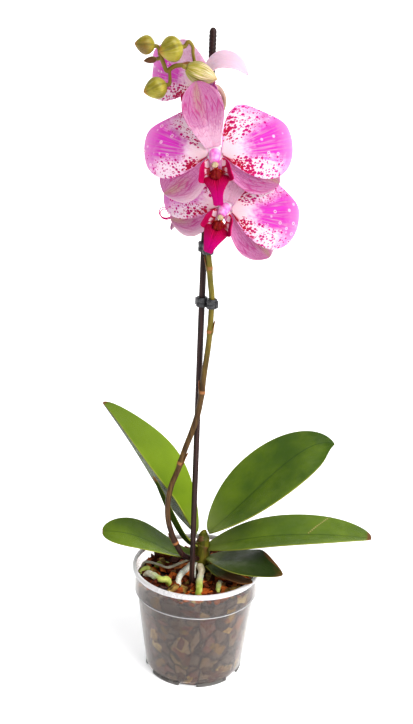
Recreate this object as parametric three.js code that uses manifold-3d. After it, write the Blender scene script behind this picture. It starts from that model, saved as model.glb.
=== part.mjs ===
// A moth orchid in its clear nursery pot, tied to a stake.
// Millimetres, +Z up, the origin is the middle of the pot's underside, and the front faces -Y.
import * as THREE from "three";
import { mergeVertices } from "three/addons/utils/BufferGeometryUtils.js";
import Module from "manifold-3d";

// ---- Driving dimensions -------------------------------------------------------------------

// Pot: a clear 12 cm nursery pot. The radii and heights run up its outside.
const POT = {
  wall: 1.0,
  floor: 1.4,
  footRadius: 46,
  footHeight: 4,
  shoulderRadius: 56,
  shoulderHeight: 79.8,
  collarRadius: 57.6,
  collarHeight: 88,
  lipRadius: 60,
  lipBottom: 100.8,
  lipTop: 105,
  slots: 6,
  slotWidth: 16,
  drainHoles: 8,
  drainRadius: 3.2,
  drainCircle: 30,
};

// Bark mix: loose chips on a packed core, which stands clear of the pot's wall.
const BARK = {
  clearance: 0.6,
  bottom: 2,
  top: 92.5,
  relief: 2.2,
  chips: 26,
  chipsWithin: 47,
  seed: 7,
};

// Stem: a short leaning column of old leaf sheaths, sunk in the bark.
const STEM = { x: 5, y: 4, bottom: 82, top: 139, radius: 6.6, tipRadius: 4.2, sheaths: 5 };

// Stake: a round rod whose ribbed end stands up.
const STAKE = {
  foot: [-3.8, -17.7, 11],
  middle: [-4.6, -21.5, 290],
  tip: [-1.5, -22, 586.5],
  footRadius: 2.4,
  tipRadius: 3.0,
};

const LEAF_THICKNESS = 1.6;
// Each leaf: four points of its midrib, half its width, half its width where it clasps the stem,
// its outline's powers towards base and tip, and its bank and fold in degrees at base and tip.
const LEAVES = [
  {
    name: "leaf_upper_left",
    midrib: [[-1.8, 6, 133], [-39, 7, 168], [-39, 4, 192], [-91, 19, 256]],
    halfWidth: 39, clasp: 3.5, outline: [0.8, 0.59], bank: [22, -13], fold: [51, 21],
  },
  {
    name: "leaf_upper_right",
    midrib: [[10.5, 6, 134], [47, 15, 161], [96, 39, 226], [126, 39, 214]],
    halfWidth: 41, clasp: 4, outline: [0.7, 0.9], bank: [5, -19], fold: [19, -6],
  },
  {
    name: "leaf_right",
    midrib: [[11, 2.2, 121], [58, -6, 141], [105, -12, 148], [158, -22, 148]],
    halfWidth: 31.8, clasp: 5, outline: [0.84, 0.48], bank: [-13, 10], fold: [12, 11],
  },
  {
    name: "leaf_lower_right",
    midrib: [[10.2, -1.9, 112], [43, -13, 114], [35, -28, 129], [78, -41, 119]],
    halfWidth: 23.8, clasp: 5, outline: [0.75, 0.73], bank: [8, -13], fold: [9, 2],
  },
  {
    name: "leaf_lower_left",
    midrib: [[-2, 9, 112], [-19, 3, 96], [-41, -6, 142], [-88, -10, 140]],
    halfWidth: 25.3, clasp: 3.5, outline: [0.78, 0.47], bank: [-15, 15], fold: [27, 2],
  },
  {
    name: "leaf_narrow",
    midrib: [[-1.2, 1.6, 121], [-19, -8, 131], [-30, -16, 172], [-41.4, -26, 205]],
    halfWidth: 6, clasp: 3, outline: [0.5, 0.5], bank: [4, 4], fold: [40, 30],
  },
  {
    name: "leaf_old",
    midrib: [[10, -5, 105], [22, -14, 101], [34, -28, 103], [51, -38, 108]],
    halfWidth: 9, clasp: 3.5, outline: [0.7, 0.5], bank: [10, 0], fold: [20, 10],
  },
];

// Roots: points along each one, and its radius.
const ROOTS = [
  { name: "root_front", radius: 3.2, path: [[3.2, -3.6, 103], [4.8, -10, 102.5], [3.4, -22, 100], [3, -31, 97], [3, -38, 91]] },
  { name: "root_silver", radius: 2.6, path: [[-2.8, 2, 104], [-8, -4, 101.5], [-13, -11, 99.5], [-16, -18, 97.5], [-17, -25, 91]] },
  { name: "root_lime", radius: 2.8, path: [[-48, -7, 91], [-45, -11, 98], [-38, -18, 99], [-32, -23, 99], [-27, -22, 98.5], [-24, -20, 91]] },
  { name: "root_dry", radius: 1.2, path: [[-2.4, 6.5, 107], [-14, 2, 104], [-27, -4, 101.5], [-36, 2, 101], [-49, 9, 99], [-53, 11, 91]] },
  { name: "root_back_left", radius: 2.1, path: [[-40, 10, 91], [-35, 9, 97.5], [-29, 9, 97.5], [-23, 10, 91]] },
  { name: "root_left", radius: 2.0, path: [[-54, -5, 91], [-50, -2, 97], [-46, -1, 97.5], [-42, 2, 91]] },
  { name: "root_right", radius: 2.0, path: [[24, -14, 91], [22, -22, 97.5], [20.5, -31, 97.5], [20, -38, 91]] },
  { name: "root_thin", radius: 1.5, path: [[-0.6, -1.4, 106], [-2, -7, 101.5], [-1.5, -12, 98.5], [-0.5, -15, 92]] },
];

// Flower spike: points along it from the stem to its tip, and its radius at both ends.
const SPIKE = {
  path: [
    [0.5, -2.2, 111], [-5, -11, 116], [-13, -20.5, 124.8], [-19.9, -24.5, 139], [-24.2, -28, 152.8],
    [-26.6, -31, 164.2], [-27.5, -32, 175.5], [-27, -32, 186.6], [-24.3, -31, 200], [-19.1, -30, 214.2],
    [-13.9, -30, 232.7], [-8.5, -29.5, 249], [-4, -29.8, 265], [-1.4, -30, 280], [0.7, -29.5, 303],
    [3.9, -27.5, 333], [4.9, -26.5, 358], [5, -27, 371], [3.2, -29, 386], [0.8, -31, 410],
    [-2.2, -33.0, 441.5], [-3.9, -33.5, 465.8], [-5.3, -33.0, 485.7], [-6.1, -42.0, 506.4], [-7.4, -53.0, 530.3],
    [-8.5, -51.5, 542.8], [-12.7, -48.5, 553.6], [-18.3, -47.5, 560.0], [-23.6, -48.0, 559.1], [-29.6, -49.0, 558.2],
    [-33.4, -49.5, 555.9], [-35.6, -50.0, 554.4], [-38.8, -50.5, 560.9], [-41.5, -51.5, 567.4],
  ],
  radius: 2.5,
  tipRadius: 1.6,
  nodes: [0.085, 0.25, 0.385, 0.49, 0.6],
};

// Clips: a ring round the stake and a ring round the spike, with a bridge between them.
const CLIP = { height: 8, wall: 1.3, clearance: 0.7, heights: [365.5, 413], names: ["clip_lower", "clip_upper"] };

const PETAL_THICKNESS = 0.8;
// One flower, in its own frame: +X to the right as one looks at it, +Y up, +Z out of its face.
// Angles are in degrees in the face, anticlockwise from +X. Rise is how far a blade starts in
// front of the face, lean how far back it tilts, recurve how much more it bends by its tip, and
// hub how far from the flower's axis it begins.
const FLOWER = {
  tepals: [
    { name: "dorsal_sepal", kind: "sepal", hub: 5.7, angle: 90, length: 55, halfWidth: 16, rise: 0, lean: -11, recurve: 24, cup: 0.10 },
    { name: "left_sepal", kind: "sepal", hub: 4.5, angle: 212, length: 49, halfWidth: 17, rise: -1.6, lean: 14, recurve: 10, cup: 0.08 },
    { name: "right_sepal", kind: "sepal", hub: 4.5, angle: -32, length: 51, halfWidth: 15, rise: -1.6, lean: 14, recurve: 10, cup: 0.08 },
    { name: "left_petal", kind: "petal", hub: 4.6, angle: 162, length: 54, halfSpread: 66, rise: 0.6, lean: 7, recurve: 12, cup: 0 },
    { name: "right_petal", kind: "petal", hub: 4.6, angle: 18, length: 54, halfSpread: 66, rise: 0.6, lean: 7, recurve: 12, cup: 0 },
  ],
};

// The four open flowers: centre, yaw to the right, pitch up and roll anticlockwise in degrees,
// size, and the stalk's path from the height on the spike where it leaves.
const BLOOMS = [
  {
    name: "bloom_front", centre: [3.2, -62, 494.3], turn: [-4, 2, 8], size: 1.05,
    stalk: { height: 462, via: [[3, -34, 477]] },
    adjust: {
      left_petal: { length: 51, halfSpread: 62, angle: 154 },
      dorsal_sepal: { angle: 98, lean: -25, recurve: 34, length: 49.5, halfWidth: 15 },
    },
  },
  {
    name: "bloom_low", centre: [13, -47, 450], turn: [-12, 4, -16], size: 1.0,
    stalk: { height: 430, via: [[8, -27, 440]] },
    adjust: {
      left_petal: { lean: 2, angle: 168, halfSpread: 60, length: 49.5 },
      right_petal: { angle: 23, length: 55.5 },
      dorsal_sepal: { lean: -7 },
    },
  },
  {
    name: "bloom_top", centre: [-7.9, -36.0, 541.6], turn: [-75, 4, -8], size: 0.97,
    stalk: { height: 503, via: [[5, -32, 517], [9, -31, 533]] },
    adjust: {
      dorsal_sepal: { lean: 0, recurve: 156, length: 51, halfWidth: 12, twist: 24 },
      left_petal: { lean: -34, recurve: 6, angle: 160, halfSpread: 68, length: 60, sweep: 18 },
      right_petal: { lean: 8, length: 24, halfSpread: 45 },
      right_sepal: { hub: 5.4, angle: -56, length: 28 },
      left_sepal: { angle: 222, lean: 4 },
    },
  },
  {
    name: "bloom_left", centre: [-9, 8, 468], turn: [-76, 14, -4], size: 0.95,
    stalk: { height: 448, via: [[8, -22, 455], [10, -6, 464]] },
    adjust: {
      right_petal: { lean: 22, angle: 32, halfSpread: 48 },
      right_sepal: { lean: -28, angle: -70, rise: -6, length: 54 },
    },
  },
];

// Buds: the blunt end, the tip, the largest radius, and the stalk's path from its place on the spike.
const BUDS = [
  { name: "bud_end", base: [-45.5, -53, 572.5], tip: [-60.2, -55, 574], radius: 7.2, from: 1, via: [] },
  {
    name: "bud_tall", base: [-24.9, -54.0, 572.5], tip: [-41.5, -60.0, 568.6], radius: 9.8, from: 0.918,
    via: [[-16.1, -52.5, 567.6], [-16.7, -53.5, 573.5], [-19.4, -54.5, 577.7], [-23.1, -54.5, 576.9]],
  },
  { name: "bud_big", base: [-20.4, -61.5, 558.0], tip: [2.7, -57.8, 550], radius: 8.4, from: 0.93, via: [] },
  { name: "bud_low", base: [-36.1, -51, 544], tip: [-52.9, -55, 538.6], radius: 8.4, from: 0.967, via: [] },
  { name: "bud_tiny", base: [-43.5, -51.5, 563], tip: [-53.5, -52, 561.2], radius: 2.6, from: 0.986, via: [] },
];

// ---- Materials ----------------------------------------------------------------------------

function finish(colour, roughness, extra = {}) {
  return new THREE.MeshStandardMaterial({ color: colour, roughness, metalness: 0, ...extra });
}

const CLEAR_PLASTIC = finish(0xd8d2cc, 0.25, { transparent: true, opacity: 0.45 });
const BARK_CHIPS = finish(0x8a4326, 0.9);
const STEM_GREEN = finish(0xa6b04a, 0.6);
const LEAF_GREEN = finish(0x4c8a2e, 0.45);
const OLD_LEAF = finish(0x7d6a38, 0.7);
const ROOT_SKIN = finish(0xc9c9a2, 0.75);
const SPIKE_SKIN = finish(0x6a6a2c, 0.55);
const STAKE_BROWN = finish(0x2b1717, 0.5);
const CLIP_GREY = finish(0x2a2a2c, 0.45);
const PETAL_PINK = finish(0xe58be0, 0.55);
const SEPAL_MAUVE = finish(0xdd9fd2, 0.55);
const LIP_CRIMSON = finish(0xc3085c, 0.45);
const COLUMN_PINK = finish(0xf29ad8, 0.5);
const BUD_GREEN = finish(0xb9b04a, 0.5);

// ---- Geometry helpers ---------------------------------------------------------------------

const wasm = await Module();
wasm.setup();

const UP = new THREE.Vector3(0, 0, 1);
const vec = (p) => new THREE.Vector3(p[0], p[1], p[2]);
const rad = THREE.MathUtils.degToRad;
const mix = THREE.MathUtils.lerp;

// A repeatable random number from 0 to 1.
function seeded(seed) {
  let state = seed * 2654435761 + 12345;
  return () => {
    state = (state * 1664525 + 1013904223) % 4294967296;
    return state / 4294967296;
  };
}

// A closed surface from its points and triangles, turned so that its faces point outwards.
function closed(points, triangles) {
  const volume = triangles.reduce((sum, [a, b, c]) => {
    return sum + points[a].dot(new THREE.Vector3().crossVectors(points[b], points[c]));
  }, 0);
  const order = volume < 0 ? triangles.map(([a, b, c]) => [a, c, b]) : triangles;
  const geometry = new THREE.BufferGeometry().setFromPoints(points);
  geometry.setIndex(order.flat());
  return geometry;
}

// A geometry as a manifold solid: shared vertices merged, and triangles of no area left out.
function solid(geometry) {
  const bare = geometry.clone();
  bare.deleteAttribute("normal");
  bare.deleteAttribute("uv");
  const merged = mergeVertices(bare, 1e-4);
  const index = merged.index.array;
  const kept = [];
  for (let i = 0; i < index.length; i += 3) {
    const [a, b, c] = [index[i], index[i + 1], index[i + 2]];
    if (a !== b && b !== c && c !== a) kept.push(a, b, c);
  }
  const mesh = new wasm.Mesh({
    numProp: 3,
    vertProperties: new Float32Array(merged.attributes.position.array),
    triVerts: new Uint32Array(kept),
  });
  return new wasm.Manifold(mesh);
}

// A manifold solid's largest body as a geometry.
function shape(body) {
  const largest = body.decompose().reduce((a, b) => (b.volume() > a.volume() ? b : a));
  const mesh = largest.getMesh();
  const geometry = new THREE.BufferGeometry();
  const count = mesh.vertProperties.length / mesh.numProp;
  const positions = new Float32Array(count * 3);
  for (let i = 0; i < count; i++) {
    positions.set(mesh.vertProperties.subarray(i * mesh.numProp, i * mesh.numProp + 3), i * 3);
  }
  geometry.setAttribute("position", new THREE.BufferAttribute(positions, 3));
  geometry.setIndex(new THREE.BufferAttribute(new Uint32Array(mesh.triVerts), 1));
  return geometry;
}

const fuse = (geometries) => shape(geometries.map(solid).reduce((a, b) => a.add(b)));
const cut = (geometry, tools) => shape(tools.map(solid).reduce((a, b) => a.subtract(b), solid(geometry)));

// A profile of [radius, height] points turned about Z.
function turned(profile, segments) {
  const points = profile.map(([r, z]) => new THREE.Vector2(r, z));
  return shape(solid(new THREE.LatheGeometry(points, segments).rotateX(Math.PI / 2)));
}

// A round limb along a curve: rings of radius(t) across it, closed by a point at each end.
// lobes(t, angle) swells or thins it round its girth.
function limb(curve, radius, sides, steps, lobes = () => 1) {
  const frames = curve.computeFrenetFrames(steps, false);
  const points = [];
  const triangles = [];
  for (let i = 0; i <= steps; i++) {
    const t = curve.stations?.[i] ?? i / steps;
    const centre = curve.getPointAt(t);
    for (let j = 0; j < sides; j++) {
      const angle = (2 * Math.PI * j) / sides;
      const reach = radius(t) * lobes(t, angle);
      points.push(centre.clone()
        .addScaledVector(frames.normals[i], Math.cos(angle) * reach)
        .addScaledVector(frames.binormals[i], Math.sin(angle) * reach));
    }
  }
  for (let i = 0; i < steps; i++) {
    for (let j = 0; j < sides; j++) {
      const a = i * sides + j;
      const b = i * sides + ((j + 1) % sides);
      triangles.push([a, b, b + sides], [a, b + sides, a + sides]);
    }
  }
  const first = points.push(curve.getPointAt(0)) - 1;
  const last = points.push(curve.getPointAt(1)) - 1;
  for (let j = 0; j < sides; j++) {
    const next = (j + 1) % sides;
    triangles.push([first, next, j], [last, steps * sides + j, steps * sides + next]);
  }
  return closed(points, triangles);
}

const smooth = (path) => new THREE.CatmullRomCurve3(path.map(vec), false, "centripetal");

// A blade: a surface point(u, v) for u and v from 0 to 1, given a thickness. Both faces are split
// into the same triangles, with the diagonals mirrored about the middle.
function blade(point, rows, columns, thickness) {
  const grid = [];
  for (let i = 0; i <= rows; i++) {
    for (let j = 0; j <= columns; j++) grid.push(point(i / rows, j / columns));
  }
  const at = (i, j) => i * (columns + 1) + j;
  const clampTo = (value, top) => Math.min(Math.max(value, 0), top);
  const points = [1, -1].flatMap((side) => grid.map((p, k) => {
    const i = Math.floor(k / (columns + 1));
    const j = k % (columns + 1);
    const along = grid[at(clampTo(i + 1, rows), j)].clone().sub(grid[at(clampTo(i - 1, rows), j)]);
    const across = grid[at(i, clampTo(j + 1, columns))].clone()
      .sub(grid[at(i, clampTo(j - 1, columns))]);
    return p.clone().addScaledVector(along.cross(across).normalize(), (side * thickness) / 2);
  }));
  const triangles = [];
  const under = grid.length;
  for (let i = 0; i < rows; i++) {
    for (let j = 0; j < columns; j++) {
      const [a, b, c, d] = [at(i, j), at(i, j + 1), at(i + 1, j + 1), at(i + 1, j)];
      const halves = j < columns / 2 ? [[a, b, c], [a, c, d]] : [[a, b, d], [b, c, d]];
      for (const [p, q, r] of halves) {
        triangles.push([p, q, r], [p + under, r + under, q + under]);
      }
    }
  }
  const rim = [];
  for (let j = 0; j < columns; j++) rim.push(at(0, j));
  for (let i = 0; i < rows; i++) rim.push(at(i, columns));
  for (let j = columns; j > 0; j--) rim.push(at(rows, j));
  for (let i = rows; i > 0; i--) rim.push(at(i, 0));
  rim.forEach((a, k) => {
    const b = rim[(k + 1) % rim.length];
    triangles.push([b, a, a + under], [b, a + under, b + under]);
  });
  return closed(points, triangles);
}

const plant = new THREE.Group();

function place(name, geometry, material, group = plant) {
  const mesh = new THREE.Mesh(geometry, material);
  mesh.name = name;
  group.add(mesh);
  return mesh;
}

// ---- Pot and bark mix ---------------------------------------------------------------------

// The pot's outside from foot to shoulder is a straight taper.
const bodyRadius = (z) => mix(POT.footRadius, POT.shoulderRadius, z / POT.shoulderHeight);

function pot() {
  const inside = POT.wall;
  const lipEdge = 1.2;
  const shell = turned([
    [0, 0],
    [POT.footRadius - 1, 0],
    [POT.footRadius, 0.8],
    [POT.footRadius + 0.6, POT.footHeight],
    [bodyRadius(POT.footHeight) - 0.4, POT.footHeight + 0.8],
    [POT.shoulderRadius - 0.4, POT.shoulderHeight - 0.8],
    [POT.shoulderRadius + 0.4, POT.shoulderHeight],
    [POT.collarRadius, POT.collarHeight],
    [POT.collarRadius + 0.7, POT.lipBottom],
    [POT.lipRadius, POT.lipBottom],
    [POT.lipRadius, POT.lipTop - lipEdge],
    [POT.lipRadius - lipEdge, POT.lipTop],
    [POT.collarRadius + 0.3 - inside, POT.lipTop],
    [POT.collarRadius + 0.3 - inside, POT.lipBottom],
    [POT.collarRadius - inside, POT.collarHeight],
    [POT.shoulderRadius - 0.4 - inside, POT.shoulderHeight],
    [bodyRadius(POT.footHeight) - 0.4 - inside, POT.footHeight + 0.8],
    [POT.footRadius - 1.6, POT.floor],
    [0, POT.floor],
  ], 36);
  const tools = [];
  for (let i = 0; i < POT.slots; i++) {
    const slot = new THREE.BoxGeometry(POT.slotWidth, 12, POT.footHeight - 1.4);
    slot.translate(0, -POT.footRadius, (POT.footHeight + 1.5) / 2);
    tools.push(slot.rotateZ(((i + 0.5) * 2 * Math.PI) / POT.slots - Math.PI / 6));
  }
  for (let i = 0; i < POT.drainHoles; i++) {
    const hole = new THREE.CylinderGeometry(POT.drainRadius, POT.drainRadius, 8, 6);
    hole.rotateX(Math.PI / 2).translate(POT.drainCircle, 0, 0);
    tools.push(hole.rotateZ((i * 2 * Math.PI) / POT.drainHoles));
  }
  return cut(shell, tools);
}

// The packed core: a turned body whose side is dented by the chips pressed against the wall.
function barkCore(random) {
  const sides = 32;
  const rows = 7;
  const points = [];
  const triangles = [];
  for (let i = 0; i <= rows; i++) {
    const z = mix(BARK.bottom, BARK.top, i / rows);
    const wall = bodyRadius(z) - 0.4 - POT.wall - BARK.clearance;
    for (let j = 0; j < sides; j++) {
      const angle = (2 * Math.PI * j) / sides;
      const dent = i === 0 || i === rows ? 1 : random();
      const reach = wall - 0.4 - BARK.relief * dent;
      points.push(new THREE.Vector3(Math.cos(angle) * reach, Math.sin(angle) * reach, z));
    }
  }
  for (let i = 0; i < rows; i++) {
    for (let j = 0; j < sides; j++) {
      const a = i * sides + j;
      const b = i * sides + ((j + 1) % sides);
      triangles.push([a, b, b + sides], [a, b + sides, a + sides]);
    }
  }
  const bottom = points.push(new THREE.Vector3(0, 0, BARK.bottom)) - 1;
  const top = points.push(new THREE.Vector3(0, 0, BARK.top + 1.5)) - 1;
  for (let j = 0; j < sides; j++) {
    const next = (j + 1) % sides;
    triangles.push([bottom, next, j], [top, rows * sides + j, rows * sides + next]);
  }
  return closed(points, triangles);
}

// One chip: a flat block with its ends cut askew, half sunk in the core.
function chip(random) {
  const length = mix(10, 19, random());
  const width = mix(6, 10, random());
  const height = mix(5, 8, random());
  const block = new THREE.BoxGeometry(length, width, height);
  const at = block.attributes.position;
  const skew = mix(-0.4, 0.4, random());
  const taper = mix(0.55, 0.9, random());
  for (let i = 0; i < at.count; i++) {
    const narrowed = at.getX(i) > 0 ? taper : 1;
    at.setXY(i, at.getX(i) + skew * at.getY(i), at.getY(i) * narrowed);
  }
  const reach = BARK.chipsWithin * Math.sqrt(random());
  const angle = random() * 2 * Math.PI;
  block.rotateX(mix(-0.35, 0.35, random())).rotateY(mix(-0.3, 0.3, random()));
  block.rotateZ(random() * Math.PI);
  return block.translate(Math.cos(angle) * reach, Math.sin(angle) * reach, BARK.top + mix(-1, 1.5, random()));
}

// Everything that stands in the bark leaves a plain hole or groove in it.
function barkMix() {
  const random = seeded(BARK.seed);
  const core = barkCore(random);
  const chips = Array.from({ length: BARK.chips }, () => chip(random));
  const heap = [core, ...chips].map(solid).reduce((a, b) => a.add(b));
  const holes = [
    stem(0.5),
    stake(0.45),
    ...ROOTS.map((spec) => root(spec, 0.4)),
  ];
  return shape(holes.map(solid).reduce((a, b) => a.subtract(b), heap));
}

// ---- Stem, roots, stake and clips -----------------------------------------------------------

function stem(extra = 0) {
  const profile = [[0, STEM.bottom - extra], [STEM.radius * 0.8 + extra, STEM.bottom - extra]];
  for (let i = 0; i < STEM.sheaths; i++) {
    const low = mix(100, STEM.top, i / STEM.sheaths);
    const high = mix(100, STEM.top, (i + 0.94) / STEM.sheaths);
    const radius = mix(STEM.radius, STEM.tipRadius, i / STEM.sheaths);
    profile.push([radius + extra, low], [radius * 0.93 + extra, high]);
  }
  profile.push([0, STEM.top + 2 + extra]);
  return turned(profile, 14).translate(STEM.x, STEM.y, 0);
}

// A root swells a little along its length and ends in a blunt point.
function root({ path, radius }, extra = 0) {
  const girth = (t) => radius * (1 + 0.08 * Math.sin(9 * t)) * Math.min(1, 0.6 + 6 * (1 - t)) + extra;
  return limb(smooth(path), girth, 6, 2 * path.length);
}

const stakeLine = new THREE.QuadraticBezierCurve3(vec(STAKE.foot), vec(STAKE.middle), vec(STAKE.tip));
const stakeRadius = (t) => mix(STAKE.footRadius, STAKE.tipRadius, t);

stakeLine.stations = [0, 0.25, 0.5, 0.75, 0.97, 0.994, 0.9975, 0.9993, 1];

function stake(extra = 0) {
  const round = (t) => Math.sqrt(Math.max(0.02, 1 - Math.max(0, (t - 0.994) / 0.006) ** 2));
  return limb(stakeLine, (t) => stakeRadius(t) * round(t) + extra, 12, stakeLine.stations.length - 1);
}

const spikeLine = smooth(SPIKE.path);

function spikeRadius(t) {
  const swell = SPIKE.nodes.reduce((sum, node) => sum + Math.exp(-(((t - node) / 0.008) ** 2)), 0);
  return mix(SPIKE.radius, SPIKE.tipRadius, Math.max(0, (t - 0.55) / 0.45)) + 0.5 * swell;
}

// Where a rising curve passes a height.
function atHeight(curve, z, from = 0) {
  const steps = 400;
  for (let i = Math.round(from * steps); i <= steps; i++) {
    const point = curve.getPointAt(i / steps);
    if (point.z >= z) return { point, t: i / steps };
  }
  throw new Error("the curve ends below " + z);
}

// A figure-of-eight clip: one hole for the stake, one for the spike.
function clip(z) {
  const low = atHeight(stakeLine, z);
  const held = atHeight(spikeLine, z);
  const stakeHole = stakeRadius(low.t) + CLIP.clearance;
  const spikeHole = spikeRadius(held.t) + CLIP.clearance;
  const span = held.point.clone().sub(low.point).setZ(0).length();
  const outline = new THREE.Shape();
  const tilt = Math.asin((stakeHole - spikeHole) / span);
  outline.absarc(0, 0, stakeHole + CLIP.wall, Math.PI / 2 - tilt, 1.5 * Math.PI + tilt, false);
  outline.absarc(span, 0, spikeHole + CLIP.wall, 1.5 * Math.PI + tilt, 2.5 * Math.PI - tilt, false);
  outline.holes.push(new THREE.Path().absarc(0, 0, stakeHole, 0, 2 * Math.PI, true));
  outline.holes.push(new THREE.Path().absarc(span, 0, spikeHole, 0, 2 * Math.PI, true));
  const plate = new THREE.ExtrudeGeometry(outline, {
    depth: CLIP.height, bevelEnabled: false, curveSegments: 8,
  });
  const latch = new THREE.BoxGeometry(2.4, 2.6, CLIP.height);
  latch.translate(-stakeHole - CLIP.wall - 0.7, 0, CLIP.height / 2);
  const away = held.point.clone().sub(low.point);
  const body = fuse([plate, latch]).translate(0, 0, -CLIP.height / 2);
  return body.rotateZ(Math.atan2(away.y, away.x)).translate(low.point.x, low.point.y, z);
}

// ---- Leaves -------------------------------------------------------------------------------

// Half a leaf's width at s from base (0) to tip (1): s^a (1 - s)^b, scaled to its widest, on top
// of the clasping base.
function leafHalfWidth({ halfWidth, clasp, outline: [a, b] }, s) {
  const widest = a / (a + b);
  const scale = widest ** a * (1 - widest) ** b;
  const base = (x) => clasp * Math.sqrt(1 - x);
  return base(s) + ((halfWidth - base(widest)) * s ** a * (1 - s) ** b) / scale;
}

// A leaf: its midrib is a curve, and its two halves rise from it in a fold.
function leaf(spec) {
  const midrib = new THREE.CubicBezierCurve3(...spec.midrib.map(vec));
  const surface = (u, v) => {
    const s = Math.min(u, 0.996);
    const along = midrib.getTangent(s);
    const level = new THREE.Vector3().crossVectors(along, UP).normalize();
    const top = new THREE.Vector3().crossVectors(level, along);
    const bank = rad(mix(...spec.bank, s));
    const side = level.clone().multiplyScalar(Math.cos(bank)).addScaledVector(top, Math.sin(bank));
    const rise = top.clone().multiplyScalar(Math.cos(bank)).addScaledVector(level, -Math.sin(bank));
    const fold = rad(mix(...spec.fold, s));
    const reach = leafHalfWidth(spec, s) * (2 * v - 1);
    return midrib.getPoint(s)
      .addScaledVector(side, reach * Math.cos(fold))
      .addScaledVector(rise, Math.abs(reach) * Math.sin(fold));
  };
  return blade(surface, spec.halfWidth > 12 ? 11 : 8, 4, LEAF_THICKNESS);
}

// ---- Flowers ------------------------------------------------------------------------------

// How far a blade has gone along the face and out of it, after distance d along its middle, when
// it starts at a lean and bends back evenly to lean + recurve over its length.
function bend({ lean, recurve, length, rise }, d) {
  const start = rad(lean);
  const turn = rad(recurve) / length;
  const along = (Math.sin(start + turn * d) - Math.sin(start)) / turn;
  const out = (Math.cos(start + turn * d) - Math.cos(start)) / turn;
  return { along, out: rise + out };
}

// A sepal: an ellipse that narrows to its base, cupped across. It can be twisted about its middle.
function sepal(spec) {
  const widest = 0.65;
  const power = [1.3, 0.7];
  const scale = (widest + 0.07) ** power[0] * (1 - widest) ** power[1];
  const surface = (u, v) => {
    const s = Math.min(u, 0.995);
    const halfWidth = (spec.halfWidth * (s + 0.07) ** power[0] * (1 - s) ** power[1]) / scale;
    const across = halfWidth * (2 * v - 1);
    const { along, out } = bend(spec, s * spec.length);
    const cup = spec.cup * halfWidth * (2 * v - 1) ** 2;
    const bent = rad(spec.lean + spec.recurve * s);
    const turn = rad(spec.twist ?? 0) * Math.min(1, 2 * s);
    const raised = across * Math.sin(turn);
    return new THREE.Vector3(
      spec.hub + along + raised * Math.sin(bent),
      across * Math.cos(turn),
      out + cup + raised * Math.cos(bent),
    );
  };
  return blade(surface, 7, 4, PETAL_THICKNESS).rotateZ(rad(spec.angle));
}

// A petal: a fan from its claw. Its rim is nearly round, straighter on its lower side, and drawn
// in a little above. Its upper half can be swept back.
const WAIST = { depth: 0.23, softness: 0.008 };
function petal(spec) {
  const mirror = Math.cos(rad(spec.angle)) < 0 ? -1 : 1;
  const middle = mirror < 0 ? 180 - spec.angle : spec.angle;
  const surface = (u, v) => {
    const spread = 0.97 * (2 * v - 1);
    const angle = rad(middle + spec.halfSpread * spread);
    const above = Math.min(1, 0.5 * (spread + Math.sqrt(spread ** 2 + WAIST.softness)));
    const rim = (1 - Math.abs(spread) ** 5) ** 0.8 * (1 - WAIST.depth * Math.sin(Math.PI * above));
    const reach = mix(0.09, 1, u) * spec.length * rim;
    const { along, out } = bend(spec, reach);
    const wave = 1.2 * u * u * Math.sin(7 * spread + 1);
    const swept = (spec.sweep ?? 0) * Math.max(0, spread) ** 2 * u;
    return new THREE.Vector3(
      mirror * (spec.hub + along * Math.cos(angle)),
      along * Math.sin(angle),
      out + wave - swept,
    );
  };
  return blade(surface, 4, 12, PETAL_THICKNESS);
}

// The lip: a folded middle lobe, two ears that stand up beside it, and the callus between them.
const LOBE = { top: -13, tip: -35.5, neck: 3.5, widest: 10.5, point: 3, shoulder: 0.25 };
function lip() {
  const midLobe = (u, v) => {
    const below = (u - LOBE.shoulder) / (1 - LOBE.shoulder);
    const halfWidth = below < 0
      ? mix(LOBE.neck, LOBE.widest, u / LOBE.shoulder)
      : mix(LOBE.point, LOBE.widest, (1 - below) ** 2);
    const across = halfWidth * (2 * v - 1);
    const down = mix(LOBE.top, LOBE.tip, u);
    const out = 6 + 9 * Math.sin(2.2 * u) - 0.035 * across * across;
    return new THREE.Vector3(across, down, out);
  };
  const ear = (side) => (u, v) => {
    const taper = Math.sqrt(Math.max(0.06, 1 - (2 * u - 1) ** 2));
    const reach = v * taper;
    return new THREE.Vector3(
      side * (3.5 + 1.8 * u + 9.5 * Math.sin((reach * Math.PI) / 2) * (1 - 0.3 * u)),
      mix(-19.5, -2, u) - 1.5 * reach,
      4.5 + 10 * reach ** 1.6,
    );
  };
  const base = new THREE.SphereGeometry(1, 6, 3).scale(6, 6, 3).translate(0, -15.5, 4.5);
  const callus = new THREE.SphereGeometry(1, 5, 3).scale(2.6, 3.4, 3).translate(0, -14, 8.5);
  const claw = limb(smooth([[0, -13, 3], [0, -9, 0.8], [0, -5.8, -1.3]]), () => 1.3, 4, 2);
  return fuse([
    blade(midLobe, 4, 4, PETAL_THICKNESS),
    blade(ear(1), 4, 2, PETAL_THICKNESS),
    blade(ear(-1), 4, 2, PETAL_THICKNESS),
    base, callus, claw,
  ]);
}

// The column: a hooded post that leans forward, with the anther cap at its end.
function column() {
  const post = smooth([[0, 1.5, -3.6], [0, 0.5, 1], [0, -2, 5.5], [0, -5, 9]]);
  const hood = limb(post, (t) => 4.1 + 0.9 * Math.sin(Math.PI * t) - 0.9 * t, 8, 4);
  const cap = new THREE.SphereGeometry(2.7, 6, 4).translate(0, -5.8, 10);
  return fuse([hood, cap]);
}

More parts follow.
